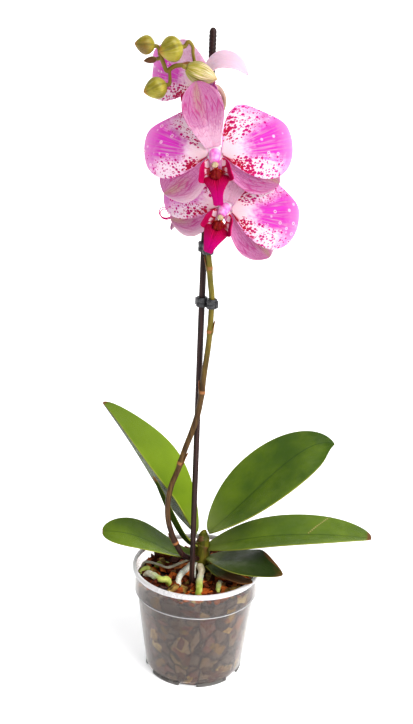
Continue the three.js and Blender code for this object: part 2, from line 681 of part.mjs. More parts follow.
// A flower's own frame, placed and turned: yaw, then pitch, then roll.
function flowerFrame({ centre, turn: [yaw, pitch, roll], size }) {
  const face = new THREE.Vector3(
    Math.sin(rad(yaw)) * Math.cos(rad(pitch)),
    -Math.cos(rad(yaw)) * Math.cos(rad(pitch)),
    Math.sin(rad(pitch)),
  );
  const right = new THREE.Vector3(Math.cos(rad(yaw)), Math.sin(rad(yaw)), 0);
  const top = new THREE.Vector3().crossVectors(face, right);
  const frame = new THREE.Group();
  frame.quaternion.setFromRotationMatrix(new THREE.Matrix4().makeBasis(right, top, face));
  frame.rotateZ(rad(roll));
  frame.position.copy(vec(centre));
  frame.scale.setScalar(size);
  frame.updateMatrixWorld(true);
  return frame;
}

function bloom(spec) {
  const frame = flowerFrame(spec);
  for (const tepal of FLOWER.tepals) {
    const own = { ...tepal, ...(spec.adjust?.[tepal.name] ?? {}) };
    const isPetal = own.kind === "petal";
    const geometry = isPetal ? petal(own) : sepal(own);
    place(spec.name + "_" + own.name, geometry, isPetal ? PETAL_PINK : SEPAL_MAUVE, frame);
  }
  place(spec.name + "_lip", lip(), LIP_CRIMSON, frame);
  place(spec.name + "_column", column(), COLUMN_PINK, frame);
  plant.add(frame);
}

// ---- Spike, its stalks, and the buds ----------------------------------------------------------

// A flower's stalk leaves the spike, curves out, and meets the back of the flower.
function flowerStalk(spec) {
  const frame = flowerFrame(spec);
  const local = (z) => frame.localToWorld(new THREE.Vector3(0, 1.5, z));
  const start = atHeight(spikeLine, spec.stalk.height).point;
  const path = new THREE.CatmullRomCurve3(
    [start, ...spec.stalk.via.map(vec), local(-12), local(-4.4)], false, "centripetal",
  );
  return limb(path, (t) => 1.3 + 0.9 * t * t, 6, 4 + 3 * spec.stalk.via.length);
}

function budStalk({ base, tip, from, via }) {
  const back = vec(base).sub(vec(tip)).normalize();
  const end = vec(base).addScaledVector(back, 0.5);
  const path = new THREE.CatmullRomCurve3(
    [spikeLine.getPointAt(from), ...via.map(vec), end.clone().addScaledVector(back, 2.5), end],
    false, "centripetal",
  );
  return limb(path, () => 1.25, 6, 4 + 2 * via.length);
}

// A bract at a node: a small pointed scale pressed to the spike.
function bract(t, turn) {
  const curve = new THREE.LineCurve3(spikeLine.getPointAt(t), spikeLine.getPointAt(t + 0.022));
  const outward = new THREE.Vector3(Math.cos(turn), Math.sin(turn), 0);
  const surface = (u, v) => {
    const centre = curve.getPoint(u).addScaledVector(outward, spikeRadius(t) + 0.2 + 1.5 * u * u);
    const side = new THREE.Vector3(-outward.y, outward.x, 0);
    return centre.addScaledVector(side, (2 * v - 1) * 2.6 * (1.02 - u))
      .addScaledVector(outward, -0.9 * (2 * v - 1) ** 2 * (1 - u));
  };
  return blade(surface, 3, 2, 0.8);
}

function spike() {
  const stalk = limb(spikeLine, spikeRadius, 6, 70);
  const bracts = SPIKE.nodes.map((t, i) => bract(t, i % 2 ? 0.2 : Math.PI - 0.4));
  return fuse([stalk, ...BLOOMS.map(flowerStalk), ...BUDS.map(budStalk), ...bracts]);
}

// A bud: an egg with a point, grooved where its three sepals meet.
function bud({ base, tip, radius }) {
  const line = new THREE.LineCurve3(vec(base), vec(tip));
  const girth = (t) => radius * Math.max(0.12, Math.sin(Math.PI * Math.min(0.985, 0.06 + 0.94 * t) ** 0.82) ** 0.72);
  const groove = (t, angle) => 1 - 0.07 * Math.exp(-(((1 - Math.cos(3 * angle)) / 0.5) ** 2));
  return limb(line, girth, 9, 6, groove);
}

// ---- The plant ------------------------------------------------------------------------------

place("pot", pot(), CLEAR_PLASTIC);
place("bark_mix", barkMix(), BARK_CHIPS);
place("stem", stem(), STEM_GREEN);
ROOTS.forEach((spec) => place(spec.name, root(spec), ROOT_SKIN));
LEAVES.forEach((spec) => place(spec.name, leaf(spec), spec.name === "leaf_old" ? OLD_LEAF : LEAF_GREEN));
place("stake", stake(), STAKE_BROWN);
CLIP.heights.forEach((z, i) => place(CLIP.names[i], clip(z), CLIP_GREY));
place("spike", spike(), SPIKE_SKIN);
BLOOMS.forEach(bloom);
BUDS.forEach((spec) => place(spec.name, bud(spec), BUD_GREEN));

export default plant;
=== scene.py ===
"""A moth orchid in its clear nursery pot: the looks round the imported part."""
from types import SimpleNamespace
import bpy
import numpy as np
from mathutils import Matrix


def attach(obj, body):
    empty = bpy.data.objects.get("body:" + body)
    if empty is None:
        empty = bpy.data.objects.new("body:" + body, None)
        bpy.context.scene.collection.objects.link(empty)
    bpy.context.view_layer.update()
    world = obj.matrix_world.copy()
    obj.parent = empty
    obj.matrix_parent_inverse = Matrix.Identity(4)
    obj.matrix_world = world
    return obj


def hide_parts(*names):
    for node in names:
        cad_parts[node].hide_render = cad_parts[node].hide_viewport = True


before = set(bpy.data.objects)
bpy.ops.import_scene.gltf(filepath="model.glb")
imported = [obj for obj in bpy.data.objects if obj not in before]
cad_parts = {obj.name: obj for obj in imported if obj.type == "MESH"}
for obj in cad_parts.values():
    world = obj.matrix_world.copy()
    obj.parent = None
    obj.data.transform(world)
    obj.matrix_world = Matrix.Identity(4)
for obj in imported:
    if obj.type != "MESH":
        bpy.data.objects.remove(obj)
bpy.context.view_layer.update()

# ---- Floor, light and camera ---------------------------------------------------------------
# A pale sweep under a broad soft light from the upper right, with pale surroundings. The camera
# stands 0.9 m in front, a little above the flowers' height, and looks down 18.8 degrees.

EYE_HEIGHT, EYE_DISTANCE = 0.611, 0.9
YAW, PITCH, ROLL = np.radians([0.16, 18.80, 2.05])
LENS, SENSOR = 53.75, 36


def mesh_object(name, points, faces, material, smooth=True):
    """An object from points (n, 3) in metres and a list of arrays of faces, (m, 4) or (m, 3)."""
    mesh = bpy.data.meshes.new(name)
    mesh.vertices.add(len(points))
    mesh.vertices.foreach_set("co", np.ascontiguousarray(points, np.float32).ravel())
    sizes = np.concatenate([np.full(len(f), f.shape[1]) for f in faces])
    corners = np.concatenate([f.ravel() for f in faces]).astype(np.int32)
    mesh.loops.add(len(corners))
    mesh.loops.foreach_set("vertex_index", corners)
    mesh.polygons.add(len(sizes))
    mesh.polygons.foreach_set("loop_start", (np.cumsum(sizes) - sizes).astype(np.int32))
    mesh.update(calc_edges=True)
    mesh.polygons.foreach_set("use_smooth", np.full(len(sizes), smooth))
    mesh.validate()
    mesh.materials.append(material)
    made = bpy.data.objects.new(name, mesh)
    bpy.context.scene.collection.objects.link(made)
    return made


def quads(rows, columns, wrap=False):
    """The faces of a grid of rows x columns points. wrap joins the last column to the first."""
    i, j = np.meshgrid(np.arange(rows - 1), np.arange(columns if wrap else columns - 1), indexing="ij")
    here, beside = i * columns + j, i * columns + (j + 1) % columns
    return np.stack([here, beside, beside + columns, here + columns], -1).reshape(-1, 4)


def put(tree, kind, inputs=None, **settings):
    """A shader node with its settings and inputs. A Signal is linked, anything else is a value."""
    node = tree.nodes.new("ShaderNode" + kind)
    for key, value in settings.items():
        setattr(node, key, value)
    for key, value in (inputs or {}).items():
        socket = node.inputs[key]
        if isinstance(value, Signal):
            tree.links.new(value.socket, socket)
        elif isinstance(value, tuple) and len(socket.default_value) == 4:
            socket.default_value = (*value, 1)
        else:
            socket.default_value = value
    return node


class Signal:
    """A value or colour in a shader, reckoned with in plain arithmetic: each step is a Math node."""

    def __init__(self, socket):
        self.socket = socket
        self.tree = socket.id_data

    def step(self, operation, *values, clamp=False):
        node = put(self.tree, "Math", dict(enumerate(values)), operation=operation, use_clamp=clamp)
        return Signal(node.outputs[0])

    def __add__(self, other):
        return self.step("ADD", self, other)

    def __sub__(self, other):
        return self.step("SUBTRACT", self, other)

    def __mul__(self, other):
        return self.step("MULTIPLY", self, other)

    def __gt__(self, other):
        return self.step("GREATER_THAN", self, other)

    def __lt__(self, other):
        return self.step("LESS_THAN", self, other)

    def __abs__(self):
        return self.step("ABSOLUTE", self)

    def or_more(self, other):
        return self.step("MAXIMUM", self, other)


class Finish:
    """A material as it is mixed: its tree, its Principled shader and the colour so far."""

    def __init__(self, name, **values):
        self.material = bpy.data.materials.new(name)
        self.material.use_nodes = True
        self.tree = self.material.node_tree
        self.shader = self.tree.nodes["Principled BSDF"]
        for key, value in values.items():
            self.shader.inputs[key.replace("_", " ")].default_value = value

    def place(self, stretch=(1, 1, 1)):
        """The object's own coordinates, stretched."""
        where = Signal(put(self.tree, "TexCoord").outputs["Object"])
        return Signal(put(self.tree, "Mapping", {"Vector": where, "Scale": stretch}).outputs["Vector"])

    def read(self, *names):
        """The piece's own attributes."""
        return [Signal(put(self.tree, "Attribute", attribute_name=name).outputs["Fac"]) for name in names]

    def paint(self, amount, colour):
        """Lays a colour over the one so far, by amount."""
        self.colour = blend(amount, self.colour, colour)

    def drive(self, socket, signal):
        self.tree.links.new(signal.socket, self.shader.inputs[socket])

    def finish(self, height, distance, strength=1.0):
        """Gives the shader the colour, if one was laid, and a relief of height x distance metres."""
        if hasattr(self, "colour"):
            self.drive("Base Color", self.colour)
        relief = {"Height": height, "Distance": distance, "Strength": strength}
        self.drive("Normal", Signal(put(self.tree, "Bump", relief).outputs["Normal"]))


floor_finish = Finish("pale_floor", Base_Color=(0.93, 0.93, 0.94, 1), Roughness=0.75,
                      Emission_Color=(1, 1, 1, 1), Emission_Strength=0.36)
curve = np.linspace(0.05, np.pi / 2, 16)
profile = np.concatenate([
    np.stack([np.linspace(-2.5, 1.6, 24), np.zeros(24)], -1),
    np.stack([1.6 + 1.2 * np.sin(curve), 1.2 - 1.2 * np.cos(curve)], -1),
    [[2.8, 3.2]],
])
across = np.linspace(-4, 4, 9)
sweep = np.stack(np.broadcast_arrays(across[None], profile[:, :1], profile[:, 1:]), -1).reshape(-1, 3)
floor = mesh_object("floor", sweep, [quads(len(profile), len(across))], floor_finish.material)


def lamp(name, kind, toward, strength, **settings):
    """A light whose rays come from the direction toward, or from that place if it is an area."""
    light = bpy.data.lights.new(name, kind)
    light.energy = strength
    for key, value in settings.items():
        setattr(light, key, value)
    made = bpy.data.objects.new(name, light)
    bpy.context.scene.collection.objects.link(made)
    back = np.array(toward, float) / np.linalg.norm(toward)
    side = np.cross([0, 0, 1], back)
    side /= np.linalg.norm(side)
    made.matrix_world = Matrix(np.column_stack([side, np.cross(back, side), back]).tolist()).to_4x4()
    made.location = toward


lamp("key", "SUN", (0.62, -0.55, 1.0), 2.45, angle=0.7)
lamp("glow", "AREA", (1.1, -0.9, 0.75), 5, shape="DISK", size=0.5)
world = bpy.data.worlds.new("surroundings")
world.use_nodes = True
world.node_tree.nodes["Background"].inputs["Color"].default_value = (1, 1, 1, 1)
world.node_tree.nodes["Background"].inputs["Strength"].default_value = 0.36
bpy.context.scene.world = world
bpy.context.scene.view_settings.view_transform = "Standard"
bpy.context.scene.view_settings.look = "Medium High Contrast"

ahead = np.array([np.sin(YAW) * np.cos(PITCH), np.cos(YAW) * np.cos(PITCH), -np.sin(PITCH)])
level = np.array([np.cos(YAW), -np.sin(YAW), 0])
upward = np.cross(level, ahead)
right = np.cos(ROLL) * level + np.sin(ROLL) * upward
upright = -np.sin(ROLL) * level + np.cos(ROLL) * upward
camera = bpy.data.cameras.new("camera")
camera.lens, camera.sensor_width, camera.sensor_height = LENS, SENSOR, SENSOR
eye = bpy.data.objects.new("camera", camera)
bpy.context.scene.collection.objects.link(eye)
eye.matrix_world = Matrix(np.column_stack([right, upright, -ahead]).tolist()).to_4x4()
eye.location = (0, -EYE_DISTANCE, EYE_HEIGHT)
bpy.context.scene.camera = eye

# ---- Pot ------------------------------------------------------------------------------------
# The real pot is injection-moulded clear polypropylene, a little milky and scuffed, with a stiff
# white-looking lip, a step at the shoulder and a foot ring broken by drain slots.

FOOT, SHOULDER, COLLAR, LIP = 46.0, 56.0, 57.6, 60.0
SHOULDER_Z, LIP_LOW, LIP_TOP = 79.8, 100.8, 105.0
FOOT_ARCS, FOOT_ARC_HALF, FOOT_ARC_TURN = 6, 19.5, -66


def fit(made, node):
    """Fixes a piece to the part: parents it to the root body and hides the CAD node it stands for."""
    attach(made, "root")
    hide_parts(node)


def store(made, name, values):
    """A float for each point of the piece, which its material reads by name."""
    layer = made.data.attributes.new(name, "FLOAT", "POINT")
    layer.data.foreach_set("value", values.astype(np.float32))


def piece(name, ring_sets, finish, slot, node, ends="fan", **values):
    """A closed piece from rings: each set is (n, k, 3) points in mm, joined round k and along n.
    ends "fan" closes a set with a point, "strip" joins the two halves of its end rings, and
    "none" joins the last ring to the first. values are floats per point, one array per set."""
    points, faces, stored, at = [], [], {key: [] for key in values}, 0
    for number, rings in enumerate(ring_sets):
        n, k = rings.shape[:2]
        last = (n - 1) * k
        block = [rings.reshape(-1, 3)]
        grid = quads(n, k, wrap=True)
        fans = []
        j = np.arange(k)
        after = (j + 1) % k
        if ends == "fan":
            block += [rings[0].mean(0)[None], rings[-1].mean(0)[None]]
            fans = [np.stack([after, j, np.full(k, n * k)], -1),
                    np.stack([last + j, last + after, np.full(k, n * k + 1)], -1)]
        elif ends == "strip":
            a = np.arange(k // 2 - 1)
            low = np.stack([a + 1, a, k - 1 - a, k - 2 - a], -1)
            grid = np.concatenate([grid, low, last + low[:, ::-1]])
        else:
            grid = np.concatenate([grid, np.stack([last + j, last + after, after, j], -1)])
        block = np.concatenate(block)
        a, b, c, d = (block[grid[:, corner]] for corner in range(4))
        volume = np.einsum("ij,ij->", a, np.cross(b, c) + np.cross(c, d))
        way = -1 if volume < 0 else 1
        faces += [at + f[:, ::way] for f in [grid, *fans]]
        points.append(block)
        at += len(block)
        for key, sets in values.items():
            flat = np.broadcast_to(sets[number], (n, k)).reshape(-1)
            poles = [flat[:k].mean(), flat[-k:].mean()] if ends == "fan" else []
            stored[key].append(np.concatenate([flat, poles]))
    made = mesh_object(name, np.concatenate(points) * 0.001, faces, finish.material)
    for key, parts in stored.items():
        store(made, key, np.concatenate(parts))
    fit(made, node)


def effect(outputs, **inputs):
    """Makes a shader node group of the function below it, which gets a Signal for each input and
    returns one for each output. inputs gives the usual values, None for a place. Called with the
    values that differ, the effect is placed in the material that the first Signal belongs to."""

    def build(wire):
        group = bpy.data.node_groups.new(wire.__name__, "ShaderNodeTree")
        for key, usual in inputs.items():
            kind = "NodeSocketVector" if usual is None else "NodeSocketFloat"
            socket = group.interface.new_socket(key, in_out="INPUT", socket_type=kind)
            if usual is not None:
                socket.default_value = usual
        for key in outputs:
            group.interface.new_socket(key, in_out="OUTPUT", socket_type="NodeSocketFloat")
        way_in = group.nodes.new("NodeGroupInput")
        way_out = group.nodes.new("NodeGroupOutput")
        for key, signal in zip(outputs, wire(*(Signal(way_in.outputs[key]) for key in inputs))):
            group.links.new(signal.socket, way_out.inputs[key])

        def placed(*values, **named):
            tree = next(value.tree for value in values if isinstance(value, Signal))
            node = put(tree, "Group", {**dict(zip(inputs, values)), **named}, node_tree=group)
            made = [Signal(node.outputs[key]) for key in outputs]
            return made if len(made) > 1 else made[0]

        return placed

    return build


def ease(value, low, high, least=0.0, most=1.0):
    """value carried smoothly from low..high to least..most."""
    ends = {"Value": value, "From Min": low, "From Max": high, "To Min": least, "To Max": most}
    node = put(value.tree, "MapRange", ends, interpolation_type="SMOOTHSTEP")
    return Signal(node.outputs["Result"])


def blend(amount, a, b):
    """Colour a with b over it by amount."""
    return Signal(put(amount.tree, "Mix", {0: amount, 6: a, 7: b}, data_type="RGBA").outputs[2])


def noise(where, scale, detail=3.0, rough=0.55, output="Fac"):
    inputs = {"Vector": where, "Scale": scale, "Detail": detail, "Roughness": rough}
    return Signal(put(where.tree, "TexNoise", inputs).outputs[output])


def cells(where, scale, randomness=1.0):
    """A pattern of cells: the distance to the nearest middle, and its red and green numbers."""
    inputs = {"Vector": where, "Scale": scale, "Randomness": randomness}
    node = put(where.tree, "TexVoronoi", inputs)
    number = put(where.tree, "SeparateColor", {"Color": Signal(node.outputs["Color"])}).outputs
    return Signal(node.outputs["Distance"]), Signal(number[0]), Signal(number[1])


@effect(["Mask", "Height"], Place=None, Scale=100.0, Detail=4.0, Roughness=0.55, Low=0.3, High=0.7,
        Least=0.0, Most=1.0)
def mottle(place, scale, detail, rough, low, high, least, most):
    """Cloudy patches: a noise, and a mask that runs smoothly over its values from low to high."""
    cloud = noise(place, scale, detail, rough)
    return ease(cloud, low, high, least, most), cloud


def body_radius(z):
    return FOOT + (SHOULDER - FOOT) * z / SHOULDER_Z


plastic = Finish("clear_plastic", Base_Color=(0.88, 0.83, 0.80, 1), IOR=1.34, Transmission_Weight=0.965)
where = plastic.place()
plastic.drive("Roughness", mottle(where, 26, 6, 0.62, Low=0.35, High=0.72, Least=0.03, Most=0.20)[0])
drops, _, _ = cells(where, 620.0)
plastic.finish(ease(drops, 0.0, 0.45, 0.25, 0) + noise(where, 60, 4), 0.0002, 0.04)
lip_plastic = Finish("pot_lip_plastic", Base_Color=(0.82, 0.80, 0.81, 1), IOR=1.4, Transmission_Weight=0.2)
where = lip_plastic.place()
lip_plastic.drive("Roughness", mottle(where, 45, 5, High=0.75, Least=0.16, Most=0.38)[0])
lip_plastic.finish(noise(where, 40, 3), 0.0003, 0.08)
# Painted shade: the foot is the same clear plastic as the pot, but is made dark grey for the shade along the
# pot's bottom edge.
shaded_foot_plastic = Finish("pot_foot_painted_shade", Base_Color=(0.17, 0.16, 0.15, 1), IOR=1.34, Transmission_Weight=0.3)
where = shaded_foot_plastic.place()
shaded_foot_plastic.drive("Roughness", mottle(where, 60, 5, High=0.75, Least=0.2, Most=0.45)[0])


def lathe(profile, segments=128):
    """Rings round Z of a closed [radius, height] profile."""
    angle = np.linspace(0, 2 * np.pi, segments, endpoint=False)[:, None]
    r, z = np.array(profile, float).T
    return np.stack([r * np.cos(angle), r * np.sin(angle), z + 0 * angle], -1)


def walled(line, wall):
    """A closed profile from an outer line, its corners cut twice: the inner line is the outer one
    moved in by wall, square to it."""
    outer = np.array(line, float)
    for _ in range(2):
        cut = [[0.75 * a + 0.25 * b, 0.25 * a + 0.75 * b] for a, b in zip(outer[:-1], outer[1:])]
        outer = np.concatenate([outer[:1], *cut, outer[-1:]])
    along = np.gradient(outer, axis=0)
    along /= np.linalg.norm(along, axis=1, keepdims=True)
    inner = outer + wall * np.stack([-along[:, 1], along[:, 0]], -1)
    return np.concatenate([outer, inner[::-1]])


wall_line = walled([
    [body_radius(5) - 3.2, 3.0], [body_radius(5) - 1.0, 3.6], [body_radius(6) - 0.3, 6.0],
    [body_radius(30) - 0.3, 30], [SHOULDER - 0.9, 76.5], [SHOULDER - 0.35, 79.3], [SHOULDER - 0.1, 80.2],
    [COLLAR - 0.3, 80.7], [COLLAR + 0.1, 81.4], [COLLAR + 0.1, 83.0], [COLLAR + 0.1, 95.0],
    [COLLAR + 0.7, 100.2], [COLLAR + 0.8, 101.6],
], 0.9)
floor_line = [[0.01, 1.9], [20, 1.9], [24, 1.4], [40, 1.4], [body_radius(5) - 2.6, 2.8],
              [body_radius(5) - 2.6, 3.8], [40, 2.6], [24, 2.6], [20, 3.1], [0.01, 3.1]]
piece("pot_wall", [lathe(wall_line), lathe(floor_line)], plastic, "clear_plastic", "pot", ends="none")
lip_line = [
    [COLLAR + 0.6, LIP_LOW - 0.6], [LIP - 1.2, LIP_LOW - 0.5], [LIP - 0.3, LIP_LOW], [LIP, LIP_LOW + 0.8],
    [LIP, LIP_TOP - 1.4], [LIP - 0.35, LIP_TOP - 0.5], [LIP - 1.1, LIP_TOP], [COLLAR - 0.2, LIP_TOP],
    [COLLAR - 0.8, LIP_TOP - 0.4], [COLLAR - 1.0, LIP_TOP - 1.2], [COLLAR - 0.5, LIP_LOW + 0.4],
]
piece("pot_lip", [lathe(lip_line, 160)], lip_plastic, "clear_plastic", "pot", ends="none")
# Painted highlight: a ring of the whitish lip plastic on the shoulder step stands for the bright line that
# light makes along it.
ledge_line = [[SHOULDER - 0.5, 79.9], [SHOULDER + 0.3, 79.9], [COLLAR + 0.15, 80.3],
              [COLLAR + 0.15, 80.8], [COLLAR - 0.3, 80.9], [SHOULDER - 0.5, 80.4]]
piece("pot_ledge_highlight", [lathe(ledge_line, 160)], lip_plastic, "clear_plastic", "pot", ends="none")
r, z = np.array([[44.3, 0.4], [44.7, 0], [45.5, 0.1], [46.0, 0.7], [46.1, 3.2], [45.6, 3.7], [44.6, 3.7],
                 [44.2, 3.2], [44.0, 1.2]]).T
feet = []
for i in range(FOOT_ARCS):
    turn = 360 / FOOT_ARCS * i + FOOT_ARC_TURN
    swing = np.radians(np.linspace(-FOOT_ARC_HALF, FOOT_ARC_HALF, 26) + turn)[:, None]
    feet.append(np.stack([r * np.cos(swing), r * np.sin(swing), z + 0 * swing], -1))
piece("pot_foot", feet, shaded_foot_plastic, "clear_plastic", "pot")
ring_line = [[41.8, 0.9], [42.6, 0.8], [43.3, 1.2], [43.4, 2.4], [43.0, 2.9], [42.0, 2.9], [41.7, 2.2]]
piece("pot_foot_ring", [lathe(ring_line)], shaded_foot_plastic, "clear_plastic", "pot", ends="none")

# ---- Bark mix -------------------------------------------------------------------------------
# Chips of fir bark, packed damp and murky behind the wall and loose, dry and red-brown on top,
# each an angular block split along its grain, with a few paler tan and yellow ones.

TOP_CHIPS, WALL_CHIPS, BARK_Z = 215, 150, 93.0
dice = np.random.default_rng(11)


def ramp(value, stops, kind="LINEAR"):
    """A colour for value, from stops of (value, colour)."""
    node = put(value.tree, "ValToRGB", {"Fac": value})
    node.color_ramp.interpolation = kind
    for spot, colour in stops[1:]:
        node.color_ramp.elements.new(spot).color = (*colour, 1)
    node.color_ramp.elements[0].color = (*stops[0][1], 1)
    node.color_ramp.elements[-1].color = (*stops[-1][1], 1)
    return Signal(node.outputs["Color"])


def shifted(where, amount, by):
    """where moved by amount x by, both places."""
    step = Signal(put(where.tree, "VectorMath", {0: amount, 1: by}, operation="MULTIPLY").outputs[0])
    return Signal(put(where.tree, "VectorMath", {0: where, 1: step}, operation="ADD").outputs[0])


def cracks(where, scale, randomness=1.0):
    """The distance to the nearest edge between cells."""
    inputs = {"Vector": where, "Scale": scale, "Randomness": randomness}
    return Signal(put(where.tree, "TexVoronoi", inputs, feature="DISTANCE_TO_EDGE").outputs["Distance"])


bark = Finish("bark_core", Roughness=0.85, Specular_IOR_Level=0.2)
where = bark.place((1, 1, 0.8))
bent = shifted(where, noise(where, 45, 3, output="Color"), (0.02, 0.02, 0.02))
_, tone, _ = cells(bent, 75.0)
seam = cracks(bent, 75.0)
damp, grime = mottle(where, 120, 6, 0.6, High=0.75)
bark.colour = ramp(tone, [
    (0, (0.075, 0.05, 0.04)), (0.18, (0.10, 0.07, 0.055)), (0.4, (0.15, 0.09, 0.065)),
    (0.6, (0.06, 0.045, 0.04)), (0.72, (0.24, 0.16, 0.09)), (0.82, (0.19, 0.075, 0.06)),
    (0.93, (0.38, 0.27, 0.13)),
], "CONSTANT")
bark.paint(damp, (0.20, 0.15, 0.12))
# Painted shade: near-black along the edges between cells, for the shadow in the gaps between packed chips.
bark.paint(ease(seam, 0.0, 0.12, 0.8, 0), (0.02, 0.014, 0.01))
bark.finish(ease(seam, 0, 0.2) + grime * 0.6, 0.002)

angle = np.linspace(0, 2 * np.pi, 180, endpoint=False)
levels = np.linspace(2.2, 91.5, 80)[:, None]
waves = dice.uniform([5, -3, 0], [19, 3, 6], (9, 3)).round(0)
dent = sum(np.sin(a * angle + b * levels / 9 + c) for a, b, c in waves) / 9
reach = body_radius(levels) - 1.5 - 1.0 * (0.5 + dent)
side = np.stack([reach * np.cos(angle), reach * np.sin(angle), levels + 0 * angle], -1)
inward = np.linspace(1, 0.02, 30)[:, None, None]
cap = side[-1] * inward ** [1, 1, 0]
lumps = 1.6 * np.sin(cap[..., 0] / 3.1 + 1) * np.sin(cap[..., 1] / 2.7) * np.linspace(0, 1, 30)[:, None]
cap[..., 2] += lumps + 0.8 * np.sin(cap[..., 0] * 0.9)
piece("bark_core", [np.concatenate([side, cap[1:]])], bark, "bark_chips", "bark_mix")


def chips(centres, sizes, turns, rounding=0.5):
    """Angular blocks, one per centre: a 3 x 3 x 2 grid shell pinched at one end, jittered, and
    turned by its own rotation. Returns points (n, 18, 3)."""
    count = len(centres)
    block = np.stack(np.meshgrid([-1, 0, 1], [-1, 0, 1], [-1, 1], indexing="ij"), -1).reshape(-1, 3)
    block = np.repeat(block[None].astype(float), count, 0) + dice.normal(0, 0.13, (count, 18, 3))
    block[..., 1] *= 1 - 0.3 * (block[..., 0] > 0.3) * dice.uniform(0, 1.2, (count, 1))
    block[..., 2] *= 1 - 0.25 * np.abs(block[..., 0]) * rounding
    block *= sizes[:, None, :] / 2
    return np.einsum("nij,nkj->nki", turns, block) + centres[:, None]


def chip_faces():
    """The faces of one block: two sheets of 2 x 2 and four sides of 2 x 1."""
    number = np.arange(18).reshape(3, 3, 2)
    sheets = [number[:, :, 1], number[:, :, 0].T, number[0], number[-1].T, number[:, 0].T, number[:, -1]]
    return np.concatenate([
        np.stack([s[:-1, :-1], s[1:, :-1], s[1:, 1:], s[:-1, 1:]], -1).reshape(-1, 4) for s in sheets
    ])


def spins(n, tilt):
    """Random rotations: any turn about Z, then a lean of up to about tilt."""
    a, b, c = dice.uniform(0, 2 * np.pi, n), dice.normal(0, tilt, n), dice.normal(0, tilt, n)
    one, nil = np.ones(n), np.zeros(n)
    rz = np.array([[np.cos(a), -np.sin(a), nil], [np.sin(a), np.cos(a), nil], [nil, nil, one]])
    rx = np.array([[one, nil, nil], [nil, np.cos(b), -np.sin(b)], [nil, np.sin(b), np.cos(b)]])
    ry = np.array([[np.cos(c), nil, np.sin(c)], [nil, one, nil], [-np.sin(c), nil, np.cos(c)]])
    return np.einsum("ijn,jkn,kln->nil", rx, ry, rz)


def chip_piece(name, points, finish):
    """One piece of many blocks, with each block's own number from 0 to 1 as its tint."""
    count = len(points)
    faces = (chip_faces()[None] + 18 * np.arange(count)[:, None, None]).reshape(-1, 4)
    made = mesh_object(name, points.reshape(-1, 3) * 0.001, [faces], finish.material, smooth=False)
    store(made, "tint", np.repeat(dice.uniform(0, 1, count), 18))
    fit(made, "bark_mix")


def chip_finish(name, stops, dark):
    """Chips whose colour runs over stops by tint, with grain lines and darker grime."""
    made = Finish(name, Roughness=0.8, Specular_IOR_Level=0.2)
    made.colour = ramp(made.read("tint")[0], stops)
    lines, grain = mottle(made.place((1, 1, 5)), 230, 5, 0.5, Low=0.55, High=0.8, Most=0.3)
    dirt, patch = mottle(made.place(), 160, Low=0.42, High=0.68, Most=0.75)
    made.paint(dirt, dark)
    made.paint(lines, (0.55, 0.24, 0.08))
    made.finish(grain + patch, 0.0009)
    return made


red_bark = chip_finish("red_bark", [
    (0, (0.045, 0.012, 0.006)), (0.4, (0.20, 0.040, 0.010)), (0.7, (0.46, 0.105, 0.016)),
    (0.92, (0.66, 0.20, 0.040))], (0.020, 0.006, 0.004))
tan_bark = chip_finish("tan_bark", [
    (0, (0.30, 0.19, 0.05)), (0.4, (0.46, 0.31, 0.09)), (0.7, (0.28, 0.10, 0.05)),
    (0.9, (0.52, 0.40, 0.17))], (0.10, 0.055, 0.02))
murky_bark = chip_finish("murky_bark", [
    (0, (0.055, 0.033, 0.022)), (0.35, (0.12, 0.068, 0.038)), (0.6, (0.16, 0.045, 0.035)),
    (0.8, (0.26, 0.16, 0.055))], (0.030, 0.018, 0.012))

count = TOP_CHIPS
spread = 52.5 * np.sqrt(dice.uniform(0.01, 1, count))
swing = dice.uniform(0, 2 * np.pi, count)
heights = BARK_Z + dice.uniform(-2.6, 3.6, count) - 2.0 * (spread > 48)
centres = np.stack([spread * np.cos(swing), spread * np.sin(swing), heights], -1)
sizes = np.stack([dice.uniform(7, 17, count), dice.uniform(4.5, 9, count), dice.uniform(2.6, 5.5, count)], -1)
sizes *= np.where(spread > 46, 0.65, 1.0)[:, None]
points = chips(centres, sizes, spins(count, 0.42))
radial = np.linalg.norm(points[..., :2], axis=-1, keepdims=True)
points[..., :2] *= np.minimum(1, 54.6 / np.maximum(radial, 1e-6))
pale = dice.uniform(0, 1, count) < 0.15
chip_piece("bark_chips_red", points[~pale], red_bark)
chip_piece("bark_chips_tan", points[pale], tan_bark)

count = WALL_CHIPS
swing = dice.uniform(0, 2 * np.pi, count)
heights = dice.uniform(5, 90, count)
out = np.stack([np.cos(swing), np.sin(swing), 0 * swing], -1)
tangent = np.stack([-np.sin(swing), np.cos(swing), 0 * swing], -1)
lean = dice.uniform(0, np.pi, count)[:, None]
first = np.cos(lean) * tangent + np.sin(lean) * [0, 0, 1]
second = -np.sin(lean) * tangent + np.cos(lean) * [0, 0, 1]
sizes = np.stack([dice.uniform(9, 20, count), dice.uniform(5, 10, count), np.full(count, 1.9)], -1)
centres = out * (body_radius(heights) - 2.5)[:, None] + [0, 0, 1] * heights[:, None]
points = chips(centres, sizes, np.stack([first, second, out], -1), 0.2)
radial = np.linalg.norm(points[..., :2], axis=-1)
limit = body_radius(points[..., 2]) - 1.45
points[..., :2] *= (np.minimum(radial, limit) / radial)[..., None]
points[..., 2] = np.clip(points[..., 2], 3.4, 92)
pale = dice.uniform(0, 1, count) < 0.22
chip_piece("bark_wall_murky", points[~pale], murky_bark)
chip_piece("bark_wall_tan", points[pale], tan_bark)

# ---- Stem and roots -------------------------------------------------------------------------
# The stem is a short upright crown wrapped in the sheaths of old leaves. The aerial roots are
# spongy: silver-white where dry, green where wet or growing, with swollen pale tips.


